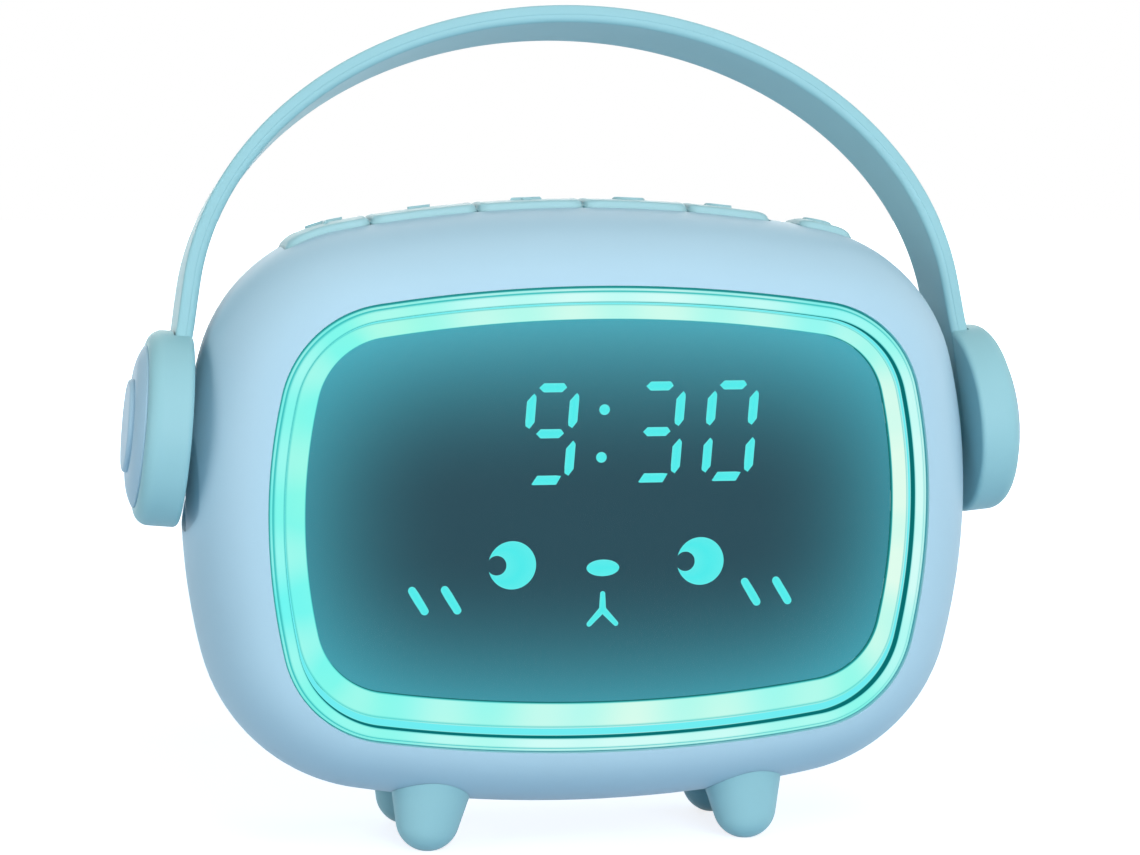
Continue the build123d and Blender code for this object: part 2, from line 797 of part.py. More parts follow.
for label, marks in display_marks.items():
    with BuildPart() as lit_mark:
        with BuildSketch(across(mask_back)):
            add(marks(0))
        extrude(amount=mask_thickness)
    save(lit_mark.part, label)

# Led board and its lamps
with BuildPart() as led_board:
    with BuildSketch(across(led_board_back)):
        add(outline_face(body.inset(led_board_inset)))
        with Locations((0, foot_boss_top + screw_head_height + 0.7)):
            Rectangle(2 * (foot_x + foot_boss_radius + 4), 20, align=(Align.CENTER, Align.MAX),
                      mode=Mode.SUBTRACT)
        with Locations(*led_post_places):
            Circle(screw_radius + 0.2, mode=Mode.SUBTRACT)
    extrude(amount=board_thickness)
save(led_board.part, "led_board")

led_loop = Wire(outline_edges(guide.inset(0.75)))
with BuildPart() as night_light_leds:
    for number in range(ring_led_count):
        place = led_loop @ (number / ring_led_count)
        heading = led_loop % (number / ring_led_count)
        turn = degrees(atan2(heading.Y, heading.X))
        with Locations(at(place.X, led_board_front, place.Y, FRONT) * Location((0, 0, 0), (0, 0, turn))):
            Box(led_size[0], led_size[1], led_size[2], align=(Align.CENTER, Align.CENTER, Align.MIN))
save(night_light_leds.part, "night_light_leds")

with BuildPart() as display_leds:
    with Locations(at(0, led_board_front, lens_middle, FRONT)):
        with GridLocations(15, 18, *display_led_grid):
            Box(led_size[0], led_size[1], led_size[2], align=(Align.CENTER, Align.CENTER, Align.MIN))
save(display_leds.part, "display_leds")

# Main board with its chips and sockets
with BuildPart() as main_board:
    with BuildSketch(across(cover_post_front)):
        middle = (main_board_left + main_board_right) / 2
        with Locations((middle, (main_board_bottom + main_board_top) / 2)):
            RectangleRounded(main_board_right - main_board_left, main_board_top - main_board_bottom, 2)
        with Locations(*main_board_places):
            Circle(screw_radius + 0.2, mode=Mode.SUBTRACT)
    extrude(amount=board_thickness)
save(main_board.part, "main_board")

# Chips and sockets: middle (x, z), width, height and how far each stands off the front of the board
board_parts = [
    (28.0, 68.0, 10.0, 10.0, 1.4),
    (40.0, 72.0, 5.0, 6.0, 1.2),
    (38.0, 60.0, 6.0, 3.0, 1.2),
    (22.0, 77.0, 4.0, 2.0, 1.0),
    (26.0, 82.5, 14.0, 3.0, 2.5),
    (14.0, 56.0, 14.0, 3.0, 2.5),
    (40.0, 47.5, 8.0, 3.0, 2.5),
    (8.0, 72.0, 6.0, 5.0, 2.5),
]
with BuildPart() as board_chips:
    for x, z, width, height, rise in board_parts:
        with Locations(at(x, main_board_depth, z, FRONT)):
            Box(width, height, rise, align=(Align.CENTER, Align.CENTER, Align.MIN))
save(board_chips.part, "board_chips")

with BuildPart() as usb_socket:
    with BuildSketch(across(back_face)):
        with Locations(usb_place):
            RectangleRounded(*usb_size, 0.49 * usb_size[1])
    extrude(amount=back_face - cover_post_front)
    with BuildSketch(across(back_face)):
        with Locations(usb_place):
            RectangleRounded(usb_size[0] - 0.6, usb_size[1] - 0.6, 0.49 * (usb_size[1] - 0.6))
            Rectangle(usb_size[0] - 2.4, 0.7, mode=Mode.SUBTRACT)
    extrude(amount=7, mode=Mode.SUBTRACT)
save(usb_socket.part, "usb_socket")

# Battery, its holder and its contacts
inner_length = cell_length + 2 * contact_length
with BuildPart() as battery_cell:
    with Locations(at(0, cell_depth, cell_height, (1, 0, 0))):
        Cylinder(cell_radius, cell_length - 2)
        with Locations((0, 0, 0.5)):
            Cylinder(0.35 * cell_radius, cell_length - 1)
        with Locations((0, 0, -0.5)):
            Cylinder(0.7 * cell_radius, cell_length - 1)
save(battery_cell.part, "battery_cell")

holder_front = cell_depth - 2
with BuildPart() as holder_tabs:
    with Locations((0, main_board_depth, cell_height)):
        Box(2 * holder_tab + 6, board_thickness, 7, align=(Align.CENTER, Align.MIN, Align.CENTER))
        Box(inner_length + holder_wall, 10, 20, mode=Mode.SUBTRACT)

with BuildPart() as battery_holder:
    with Locations((0, holder_front, cell_height)):
        Box(inner_length + 2 * holder_wall, cover_inside - part_gap - holder_front,
            2 * (cell_radius + holder_wall) + 0.2, align=(Align.CENTER, Align.MIN, Align.CENTER))
        Box(inner_length, cell_depth + cell_radius + 0.1 - holder_front,
            2 * cell_radius + 0.2, align=(Align.CENTER, Align.MIN, Align.CENTER), mode=Mode.SUBTRACT)
    add(holder_tabs.part)
    add(body_solid(wall + 0.1), mode=Mode.INTERSECT)
    for x, z in holder_places:
        with Locations(at(x, main_board_depth - 1, z, BACK)):
            Cylinder(screw_radius + 0.2, 5, align=(Align.CENTER, Align.CENTER, Align.MIN),
                     mode=Mode.SUBTRACT)
save(battery_holder.part, "battery_holder")

contact_front = cell_depth - 4
with BuildPart() as battery_contacts:
    for side in (-1, 1):
        edge = Align.MAX if side > 0 else Align.MIN
        with Locations((side * (inner_length / 2 - 0.05), contact_front, cell_height)):
            Box(0.4, 8, 16, align=(edge, Align.MIN, Align.CENTER))
        with Locations(at(side * (cell_length / 2), cell_depth, cell_height, (side, 0, 0))):
            Cylinder(2.6, contact_length - 0.3, align=(Align.CENTER, Align.CENTER, Align.MIN))
            Cylinder(2.0, contact_length - 0.5, align=(Align.CENTER, Align.CENTER, Align.MIN),
                     mode=Mode.SUBTRACT)
save(battery_contacts.part, "battery_contacts")

# Speaker on its gasket
turn_plane = Plane.XY.offset(speaker_z)
basket_back = speaker_front - basket_depth
with BuildPart() as speaker_frame:
    add(turned([
        (speaker_x + cone_radius + 0.6, speaker_back),
        (speaker_x + speaker_radius, speaker_back),
        (speaker_x + speaker_radius, speaker_front),
        (speaker_x + magnet_radius + 2, basket_back),
        (speaker_x + 4.5, basket_back),
        (speaker_x + 4.5, basket_back + 1.2),
        (speaker_x + magnet_radius + 1, basket_back + 1.2),
        (speaker_x + cone_radius + 0.6, speaker_front + 0.6),
    ], speaker_axis, turn_plane))
    with BuildSketch(across(speaker_back)):
        for (x, z), turn in zip(speaker_ear_places, speaker_ears):
            with Locations((x, z)):
                Circle(post_radius + 0.2)
            with Locations(Location((x, z), (0, 0, turn))):
                Rectangle(speaker_ear_reach - speaker_radius + 3, 2 * (post_radius + 0.2),
                          align=(Align.MAX, Align.CENTER))
        with Locations((speaker_x + speaker_radius, speaker_z + 5.5)):
            Rectangle(6, 6)
        with Locations(speaker_place):
            Circle(speaker_radius - 1, mode=Mode.SUBTRACT)
    extrude(amount=frame_rim)
    for x, z in speaker_ear_places:
        with Locations(at(x, speaker_front - 1, z, BACK)):
            Cylinder(screw_radius + 0.2, 6, align=(Align.CENTER, Align.CENTER, Align.MIN),
                     mode=Mode.SUBTRACT)
save(speaker_frame.part, "speaker_frame")

with BuildPart() as speaker_magnet:
    with Locations(at(speaker_x, basket_back - part_gap, speaker_z, FRONT)):
        Cylinder(magnet_radius, magnet_height, align=(Align.CENTER, Align.CENTER, Align.MIN))
save(speaker_magnet.part, "speaker_magnet")

with BuildPart() as speaker_cone:
    add(turned([
        (speaker_x, basket_back + 5.4),
        (speaker_x + 5, basket_back + 4.4),
        (speaker_x + cone_radius + 0.5, speaker_back - 0.6),
        (speaker_x + cone_radius + 0.5, speaker_back - 1.1),
        (speaker_x + 5, basket_back + 3.6),
        (speaker_x, basket_back + 4.6),
    ], speaker_axis, turn_plane))
save(speaker_cone.part, "speaker_cone")

with BuildPart() as speaker_gasket:
    with BuildSketch(across(speaker_seat)):
        with Locations(speaker_place):
            Circle(speaker_radius)
            Circle(speaker_radius - frame_rim, mode=Mode.SUBTRACT)
    extrude(amount=gasket_thickness)
save(speaker_gasket.part, "speaker_gasket")

# Key board, switches and keys
key_spans = list(zip(key_edges, key_edges[1:])) + [tuple(lone_key_edges)]
key_middles = [(left + right) / 2 for left, right in key_spans]
key_middle_depth = (key_front + key_back) / 2
with BuildPart() as key_board:
    with BuildSketch(Plane.XY.offset(key_screw_start)):
        with Locations(((key_board_left + key_board_right) / 2, (key_board_front + key_board_back) / 2)):
            Rectangle(key_board_right - key_board_left, key_board_back - key_board_front)
        with Locations((0, (key_board_front + key_tab_back) / 2)):
            Rectangle(2 * key_tab_half_width, key_tab_back - key_board_front)
        with Locations(*key_post_places):
            Circle(screw_radius + 0.2, mode=Mode.SUBTRACT)
    extrude(amount=board_thickness)
save(key_board.part, "key_board")

with BuildPart() as switch_bases:
    for x in key_middles:
        with Locations((x, switch_depth, key_board_top)):
            Box(switch_size, switch_size, switch_height, align=(Align.CENTER, Align.CENTER, Align.MIN))
            with Locations((0, 0, switch_height - key_travel - 0.6)):
                Cylinder(button_radius + 0.1, 5, align=(Align.CENTER, Align.CENTER, Align.MIN),
                         mode=Mode.SUBTRACT)
save(switch_bases.part, "switch_bases")

button_bottom = key_board_top + switch_height - 0.5
button_top = key_board_top + switch_height + button_height
for name, x in zip(key_names, key_middles):
    with BuildPart() as switch_button:
        with Locations((x, switch_depth, button_bottom)):
            Cylinder(button_radius, button_top - button_bottom,
                     align=(Align.CENTER, Align.CENTER, Align.MIN))
    save(switch_button.part, "switch_button_" + name)


def plus_icon():
    """Upright cross."""
    with BuildSketch() as icon:
        Rectangle(2 * icon_half, icon_stroke)
        Rectangle(icon_stroke, 2 * icon_half)
    return icon.sketch


def minus_icon():
    """Level bar."""
    with BuildSketch() as icon:
        Rectangle(2 * icon_half, icon_stroke)
    return icon.sketch


def bell_icon():
    """Bell with a rim and a clapper."""
    with BuildSketch() as icon:
        with Locations((0, 0.1 * icon_half)):
            Circle(0.6 * icon_half)
        with Locations((0, -0.25 * icon_half)):
            Rectangle(1.2 * icon_half, 0.7 * icon_half)
        with Locations((0, -0.6 * icon_half)):
            Rectangle(1.8 * icon_half, 0.2 * icon_half)
        with Locations((0, -0.75 * icon_half)):
            Circle(0.22 * icon_half)
    return icon.sketch


def clock_icon():
    """Ring with two hands."""
    with BuildSketch() as icon:
        Circle(icon_half)
        Circle(icon_half - 0.7 * icon_stroke, mode=Mode.SUBTRACT)
        Rectangle(0.6 * icon_stroke, 0.7 * icon_half, align=(Align.CENTER, Align.MIN))
        Rectangle(0.6 * icon_half, 0.6 * icon_stroke, align=(Align.MIN, Align.CENTER))
    return icon.sketch


def light_icon():
    """Crescent."""
    with BuildSketch() as icon:
        Circle(icon_half)
        with Locations((0.45 * icon_half, 0.25 * icon_half)):
            Circle(0.8 * icon_half, mode=Mode.SUBTRACT)
    return icon.sketch


def power_icon():
    """Open ring with an upright bar in the opening."""
    with BuildSketch() as icon:
        Circle(0.8 * icon_half)
        Circle(0.8 * icon_half - 0.8 * icon_stroke, mode=Mode.SUBTRACT)
        with Locations((0, 0.6 * icon_half)):
            Rectangle(2.4 * icon_stroke, icon_half, mode=Mode.SUBTRACT)
            Rectangle(0.8 * icon_stroke, icon_half)
    return icon.sketch


key_icons = [plus_icon, minus_icon, bell_icon, clock_icon, light_icon, power_icon]
key_surface = body_solid(-key_rise)
icon_surface = body_solid(-key_rise - icon_rise)
roof_surface = body_solid(0.5)
flange_surface = body_solid(wall + key_seat_gap)
under_surface = body_solid(wall + key_seat_gap + key_flange_thickness)

for name, icon, (left, right) in zip(key_names, key_icons, key_spans):
    middle = (left + right) / 2
    width = right - left - (key_gap if name != key_names[-1] else 0)
    length = key_back - key_front
    with BuildPart() as key_pad:
        with BuildSketch(Plane.XY.offset(key_board_top)):
            with Locations((middle, key_middle_depth)):
                RectangleRounded(width, length, key_corner)
        extrude(amount=20)
        add(key_surface, mode=Mode.INTERSECT)
    with BuildPart() as key_foot:
        with BuildSketch(Plane.XY.offset(key_board_top)):
            with Locations((middle, key_middle_depth)):
                RectangleRounded(width, length + 2 * key_flange, key_corner)
        extrude(amount=20)
        add(flange_surface, mode=Mode.INTERSECT)
    with BuildPart() as key_mark:
        with BuildSketch(Plane.XY.offset(key_board_top)):
            with Locations((middle, key_middle_depth)):
                add(icon())
        extrude(amount=20)
        add(icon_surface, mode=Mode.INTERSECT)
        add(body_solid(0), mode=Mode.SUBTRACT)
    with BuildPart() as key_pocket:
        with BuildSketch(Plane.XY.offset(key_board_top)):
            with Locations((middle, key_middle_depth)):
                RectangleRounded(width - 3, length - 3, key_corner)
        extrude(amount=20)
        add(roof_surface, mode=Mode.INTERSECT)
    with BuildPart() as key:
        add(key_pad.part)
        add(key_foot.part)
        add(under_surface, mode=Mode.SUBTRACT)
        add(key_pocket.part, mode=Mode.SUBTRACT)
        add(key_mark.part)
        with BuildSketch(Plane.XY.offset(button_top)):
            with Locations((middle, switch_depth)):
                Rectangle(2 * stem_half, 2 * stem_half)
        extrude(until=Until.NEXT)
    save(key.part, "key_" + name)

# Handle: strap arch in the leaning plane, and how wide it is seen from the side
handle_plane = Plane(origin=(0, 0, pivot_height), x_dir=(1, 0, 0), z_dir=(0, -cos(lean), sin(lean)))
side_plane = Plane(origin=(0, 0, pivot_height), x_dir=(0, cos(lean), -sin(lean)), z_dir=(1, 0, 0))
half_root = strap_root_width / 2


def tongue_point(height, thickness):
    """Point (x, height) of the leaning strap end, at a height above the pivot and into its thickness."""
    return (cup_face + (tongue_sink + thickness) / cos(tilt) - height * tan(tilt), height)


with BuildPart() as strap_side:
    with BuildSketch(side_plane):
        Circle(half_root)
        Polygon(
            (-half_root, 0),
            (half_root, 0),
            (half_root, strap_spring),
            (strap_crown_width / 2, strap_spring + strap_crown + 1),
            (-strap_crown_width / 2, strap_spring + strap_crown + 1),
            (-half_root, strap_spring),
            align=None,
        )
    extrude(amount=2 * strap_half_width, both=True)

with BuildPart() as handle_strap:
    with BuildSketch(handle_plane):
        with Locations((0, strap_spring)):
            Ellipse(strap_half_width, strap_crown)
            Ellipse(strap_half_width - strap_thickness, strap_crown - strap_thickness, mode=Mode.SUBTRACT)
        with Locations((0, strap_spring)):
            Rectangle(3 * strap_half_width, 2 * strap_crown, align=(Align.CENTER, Align.MAX),
                      mode=Mode.SUBTRACT)
        for side in (1, -1):
            points = [
                (strap_half_width, strap_spring),
                tongue_point(tongue_top, strap_thickness),
                tongue_point(-half_root - 2, strap_thickness),
                tongue_point(-half_root - 2, 0),
                tongue_point(tongue_top, 0),
                (strap_half_width - strap_thickness, strap_spring),
            ]
            Polygon(*[(side * x, y) for x, y in points], align=None)
    extrude(amount=strap_crown_width, both=True)
    add(strap_side.part, mode=Mode.INTERSECT)
    for side in (-1, 1):
        with Locations(at(side * bearing_inner_face, 0, pivot_height, (side, 0, 0))):
            Cylinder(stem_radius + part_gap, 30, align=(Align.CENTER, Align.CENTER, Align.MIN),
                     mode=Mode.SUBTRACT)
save(handle_strap.part, "handle_strap")

cup_out = (cos(tilt), sin(tilt) * sin(lean), sin(tilt) * cos(lean))
cup_plane = Plane(origin=(cup_face, 0, pivot_height), x_dir=(0, cos(lean), -sin(lean)), z_dir=cup_out)

# Half section of a cup or cap is drawn with X as the radius and Y along the cup's axis
section_plane = Plane(origin=cup_plane.origin, x_dir=cup_plane.x_dir, z_dir=-cup_plane.y_dir)
cup_axis = Axis(cup_plane.origin, cup_plane.z_dir)
recess_floor = cup_thickness - cap_seat

# Room in the cup for the strap's end, open to the inner face and to the rim
with BuildPart() as tongue_pocket:
    with BuildSketch(side_plane):
        Circle(half_root + part_gap)
        Rectangle(2 * (half_root + part_gap), cup_radius + 3, align=(Align.CENTER, Align.MIN))
    extrude(amount=2 * cup_face)
    with BuildSketch(cup_plane):
        Circle(2 * cup_radius)
    extrude(amount=tongue_sink + strap_thickness + part_gap, mode=Mode.INTERSECT)

with BuildPart() as ear_cup_right:
    with BuildSketch(section_plane):
        with BuildLine():
            Line((0, 0), (cup_radius - cup_back_round, 0))
            RadiusArc((cup_radius - cup_back_round, 0), (cup_radius, cup_back_round), -cup_back_round)
            Line((cup_radius, cup_back_round), (cup_radius, cup_thickness - cup_round))
            RadiusArc((cup_radius, cup_thickness - cup_round), (cup_radius - cup_round, cup_thickness),
                      -cup_round)
            Polyline(
                (cup_radius - cup_round, cup_thickness),
                (cap_radius + part_gap, cup_thickness),
                (cap_radius + part_gap, recess_floor),
                (0, recess_floor),
                (0, 0),
            )
        make_face()
    revolve(axis=cup_axis)
    add(tongue_pocket.part, mode=Mode.SUBTRACT)
    with Locations(at(bearing_inner_face - washer_thickness + part_gap, 0, pivot_height, (1, 0, 0))):
        Cylinder(stem_radius, cup_face - bearing_inner_face + 5,
                 align=(Align.CENTER, Align.CENTER, Align.MIN))
        Cylinder(pivot_shank_radius + screw_gap, pivot_shank_length + 1,
                 align=(Align.CENTER, Align.CENTER, Align.MIN), mode=Mode.SUBTRACT)
save(ear_cup_right.part, "ear_cup_right")

with BuildPart() as ear_cap_right:
    with BuildSketch(section_plane):
        with BuildLine():
            cap_rim = cup_thickness + cap_edge
            dome_top = cup_thickness + dome_rise
            disc_edge = dome_top + button_dome_rise - button_dome_round
            disc_top = dome_top + button_dome_rise
            Line((0, recess_floor), (cap_radius, recess_floor))
            Line((cap_radius, recess_floor), (cap_radius, cap_rim))
            ThreePointArc(
                (cap_radius, cap_rim),
                ((cap_radius + button_dome_radius) / 2 + 0.6, (cap_rim + dome_top) / 2 + 0.35),
                (button_dome_radius + 0.3, dome_top),
            )
            Line((button_dome_radius + 0.3, dome_top), (button_dome_radius, dome_top))
            Line((button_dome_radius, dome_top), (button_dome_radius, disc_edge))
            RadiusArc((button_dome_radius, disc_edge),
                      (button_dome_radius - button_dome_round, disc_top), -button_dome_round)
            Line((button_dome_radius - button_dome_round, disc_top), (0, disc_top))
            Line((0, disc_top), (0, recess_floor))
        make_face()
    revolve(axis=cup_axis)
save(ear_cap_right.part, "ear_cap_right")

with BuildPart() as friction_washer_right:
    with Locations(at(bearing_inner_face - part_gap, 0, pivot_height, (-1, 0, 0))):
        Cylinder(bearing_outer_radius - 0.4, washer_thickness - 2 * part_gap,
                 align=(Align.CENTER, Align.CENTER, Align.MIN))
        Cylinder(stem_radius + bearing_gap, 5, mode=Mode.SUBTRACT)
save(friction_washer_right.part, "friction_washer_right")

with BuildPart() as pivot_screw_right:
    with Locations(at(bearing_inner_face - washer_thickness, 0, pivot_height, (1, 0, 0))):
        add(screw_shape(pivot_shank_radius, pivot_shank_length, pivot_head_radius, pivot_head_height))
save(pivot_screw_right.part, "pivot_screw_right")

for label, right_piece in (
    ("ear_cup_left", ear_cup_right),
    ("ear_cap_left", ear_cap_right),
    ("friction_washer_left", friction_washer_right),
    ("pivot_screw_left", pivot_screw_right),
):
    with BuildPart() as left_piece:
        mirror(right_piece.part, about=Plane.YZ)
    save(left_piece.part, label)

# Feet: round tip, sides that widen upward, leaning outward, with a spigot up into the shell
foot_surface = body_solid(-part_gap)
half_taper = radians(foot_taper / 2)
tip_x = foot_tip_radius * cos(half_taper)
tip_z = -foot_tip_radius * sin(half_taper)
for name, (side, end) in foot_places.items():
    splay = radians(foot_splay)
    foot_axis_direction = Vector(-side * sin(splay), 0, cos(splay))
    tip_centre = Vector(side * foot_x, end * foot_y, foot_tip_radius - foot_flat)
    foot_plane = Plane(origin=tip_centre, x_dir=(cos(splay), 0, side * sin(splay)), z_dir=(0, -1, 0))
    with BuildPart() as foot:
        with BuildSketch(foot_plane):
            with BuildLine():
                RadiusArc((0, -foot_tip_radius), (tip_x, tip_z), -foot_tip_radius)
                Polyline(
                    (tip_x, tip_z),
                    (tip_x + foot_length * tan(half_taper), tip_z + foot_length),
                    (0, tip_z + foot_length),
                    (0, -foot_tip_radius),
                )
            make_face()
        revolve(axis=Axis(tip_centre, foot_axis_direction))
        with Locations((side * foot_x, end * foot_y, 0)):
            Box(40, 40, 10, align=(Align.CENTER, Align.CENTER, Align.MAX), mode=Mode.SUBTRACT)
        add(foot_surface, mode=Mode.SUBTRACT)
        with Locations((side * spigot_x, end * foot_y, spigot_top - part_gap)):
            Cylinder(foot_spigot_radius, spigot_top - 7, align=(Align.CENTER, Align.CENTER, Align.MAX))
            Cylinder(small_bore, 2 * (foot_screw_length - 1.5), mode=Mode.SUBTRACT)
    save(foot.part, "foot_" + name)

# Screws
with BuildPart() as case_screws:
    for x, z in case_screw_places:
        with Locations(at(x, back_face - case_recess, z, FRONT)):
            add(case_screw)
save(case_screws.part, "case_screws")

with BuildPart() as foot_screws:
    for side, end in foot_places.values():
        with Locations(at(side * spigot_x, end * foot_y, foot_boss_top, DOWN)):
            add(foot_screw)
save(foot_screws.part, "foot_screws")

with BuildPart() as board_screws:
    for x, z in led_post_places:
        with Locations(at(x, led_board_back, z, FRONT)):
            add(small_screw)
    for x, z in main_board_places + holder_places:
        with Locations(at(x, main_board_depth, z, BACK)):
            add(small_screw)
    for x, z in speaker_ear_places:
        with Locations(at(x, speaker_front, z, BACK)):
            add(small_screw)
    for x, y in key_post_places:
        with Locations(at(x, y, key_screw_start, UP)):
            add(small_screw)
save(board_screws.part, "board_screws")


def lead(points):
    """Round lead along a route."""
    path = route(points)
    with BuildPart() as cord:
        with BuildSketch(Plane(origin=path @ 0, z_dir=path % 0)):
            Circle(lead_radius)
        sweep(path=path)
    return cord.part


def ribbon(x, points):
    """Flat ribbon along a route of (depth, height) places, as wide as ribbon_width."""
    path = route([(x, y, z) for y, z in points])
    with BuildPart() as flex:
        with BuildSketch(Plane(origin=path @ 0, x_dir=(1, 0, 0), z_dir=path % 0)):
            Rectangle(ribbon_width, ribbon_thickness)
        sweep(path=path)
    return flex.part


socket_depth = main_board_depth - 1.25
contact_x = inner_length / 2 - 0.25
lead_start = contact_front - part_gap
battery_socket_x = 40.0
battery_socket_bottom = 46.0
with BuildPart() as battery_leads:
    add(lead([
        (contact_x, lead_start, 35.0),
        (contact_x, 2.5, 35.0),
        (36.5, 2.5, 42.0),
        (battery_socket_x - 1.5, socket_depth, 42.6),
        (battery_socket_x - 1.5, socket_depth, battery_socket_bottom - part_gap),
    ]))
    add(lead([
        (-contact_x, lead_start, 35.0),
        (-contact_x, -1.0, 35.0),
        (-31.0, -1.0, 42.2),
        (3.0, -1.8, 43.0),
        (38.0, -1.0, 42.4),
        (battery_socket_x + 1.5, socket_depth, 42.4),
        (battery_socket_x + 1.5, socket_depth, battery_socket_bottom - part_gap),
    ]))
save(battery_leads.part, "battery_leads")

speaker_lead_depth = main_board_depth - 1.8
with BuildPart() as speaker_leads:
    for start, end in ((4.0, 70.8), (7.0, 73.2)):
        add(lead([
            (speaker_x + speaker_radius + 1.5, speaker_front - part_gap, speaker_z + start),
            (speaker_x + speaker_radius + 1.5, speaker_lead_depth, speaker_z + start),
            (-1.0, speaker_lead_depth - 0.6, end),
            (5.0 - part_gap, speaker_lead_depth + 0.2, end),
        ]))
save(speaker_leads.part, "speaker_leads")

with BuildPart() as key_ribbon:
    add(ribbon(26.0, [
        (4.0, key_screw_start - part_gap),
        (4.0, 91.5),
        (socket_depth, 88.5),
        (socket_depth, 84.0 + part_gap),
    ]))
save(key_ribbon.part, "key_ribbon")

with BuildPart() as display_ribbon:
    add(ribbon(14.0, [
        (led_board_back + part_gap, 68.0),
        (-5.0, 68.0),
        (3.0, 56.0),
        (main_board_depth - 2.5 - part_gap, 56.0),
    ]))
save(display_ribbon.part, "display_ribbon")
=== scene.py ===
"""Kids alarm clock with night light: surfaces, finishes, lamps and camera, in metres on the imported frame."""

import json
import logging
import math
from collections.abc import Callable, Sequence
from dataclasses import dataclass, field
from enum import Enum
from functools import cache

import bmesh
import bpy
import numpy as np
from mathutils import Matrix, Vector


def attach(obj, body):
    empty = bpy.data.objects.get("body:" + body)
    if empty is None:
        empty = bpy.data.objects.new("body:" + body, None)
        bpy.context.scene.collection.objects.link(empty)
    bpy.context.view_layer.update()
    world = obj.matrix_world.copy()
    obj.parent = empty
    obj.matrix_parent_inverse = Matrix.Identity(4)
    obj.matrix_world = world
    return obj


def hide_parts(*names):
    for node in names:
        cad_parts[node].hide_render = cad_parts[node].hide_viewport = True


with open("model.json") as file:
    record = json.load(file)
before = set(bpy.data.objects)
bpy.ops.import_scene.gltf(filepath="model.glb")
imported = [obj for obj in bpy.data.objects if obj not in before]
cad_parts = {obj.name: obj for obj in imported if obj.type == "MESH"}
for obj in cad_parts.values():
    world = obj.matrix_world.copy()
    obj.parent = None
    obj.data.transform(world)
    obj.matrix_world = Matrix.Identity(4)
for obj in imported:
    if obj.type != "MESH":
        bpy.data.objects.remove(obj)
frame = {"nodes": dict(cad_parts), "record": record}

log = logging.getLogger("clock")
MM = 0.001
QUARTER = math.pi / 2
OUTLINE_SAMPLES = 8001  # places at which an outline's length is measured
ROUND_STEPS = 6  # steps of a pen stroke's round end
MERGED = 1e-7  # metres within which two points are one
SLACK_HEADING = math.radians(125.0)  # where the light ring stands a little away from the shell's opening

Colour = tuple[float, float, float, float]
Pair = tuple[float, float]
Triple = tuple[float, float, float]
Edges = tuple[np.ndarray, np.ndarray]  # the two edge curves of a flat shape, each (n, 2)
UNLIT: Colour = (0.0, 0.02, 0.02, 1.0)  # colour that a lit plastic has without its lamps


def srgb(red: float, green: float, blue: float) -> Colour:
    """Linear colour of a display colour given from 0 to 255, by the display standard's own curve.

    Args:
        red: Red value.
        green: Green value.
        blue: Blue value.

    Returns:
        Linear red, green, blue and an alpha of 1.
    """
    parts = (v / 255 for v in (red, green, blue))
    return (*(v / 12.92 if v <= 0.04045 else ((v + 0.055) / 1.055) ** 2.4 for v in parts), 1.0)


def placed(name: str, data: bpy.types.ID) -> bpy.types.Object:
    """New object of the scene that shows a mesh, a lamp or a camera.

    Args:
        name: Its name.
        data: What it shows.

    Returns:
        The object.
    """
    made = bpy.data.objects.new(name, data)
    bpy.context.scene.collection.objects.link(made)
    return made


def distances(path: np.ndarray) -> np.ndarray:
    """Distance along a path up to each of its points."""
    return np.concatenate([[0.0], np.cumsum(np.linalg.norm(np.diff(path, axis=0), axis=1))])


def scaled(colour: Colour, share: float) -> Colour:
    """Colour whose red, green and blue are multiplied by a share and kept up to 1."""
    return (*(min(1.0, v * share) for v in colour[:3]), 1.0)


# --- shader maths ---


def operator(operation: str, swapped: bool = False) -> Callable[["Socket", object], "Socket"]:
    """Method of a socket that puts a Math node on the socket and another value.

    Args:
        operation: What the node works out.
        swapped: Whether the other value comes first, as in the reflected form of an operator.

    Returns:
        The method.
    """

    def method(self: "Socket", other: object) -> "Socket":
        """Value of the node."""
        return self._math(operation, *((other, self) if swapped else (self, other)))

    return method


class Socket:
    """A shader value that can be added, multiplied and compared in plain expressions."""

    __add__ = __radd__ = operator("ADD")
    __sub__, __rsub__ = operator("SUBTRACT"), operator("SUBTRACT", swapped=True)
    __mul__ = __rmul__ = operator("MULTIPLY")
    __truediv__, __rtruediv__ = operator("DIVIDE"), operator("DIVIDE", swapped=True)
    __pow__, __rpow__ = operator("POWER"), operator("POWER", swapped=True)
    __gt__, __lt__ = operator("GREATER_THAN"), operator("LESS_THAN")
    at_least, at_most = operator("MAXIMUM"), operator("MINIMUM")

    def __init__(self, nodes: "Nodes", link: bpy.types.NodeSocket) -> None:
        """Wrap an output of a node tree."""
        self.nodes = nodes
        self.link = link

    def _math(self, operation: str, *values: object) -> "Socket":
        """Result of a Math node on these values."""
        return self.nodes.value("ShaderNodeMath", {"operation": operation}, dict(enumerate(values)))

    def __neg__(self) -> "Socket":
        """Opposite."""
        return self * -1.0

    def __abs__(self) -> "Socket":
        """Size without its sign."""
        return self._math("ABSOLUTE", self)

    def sine(self) -> "Socket":
        """Sine of an angle in radians."""
        return self._math("SINE", self)

    def clamped(self) -> "Socket":
        """This value kept between 0 and 1."""
        return self.at_least(0.0).at_most(1.0)


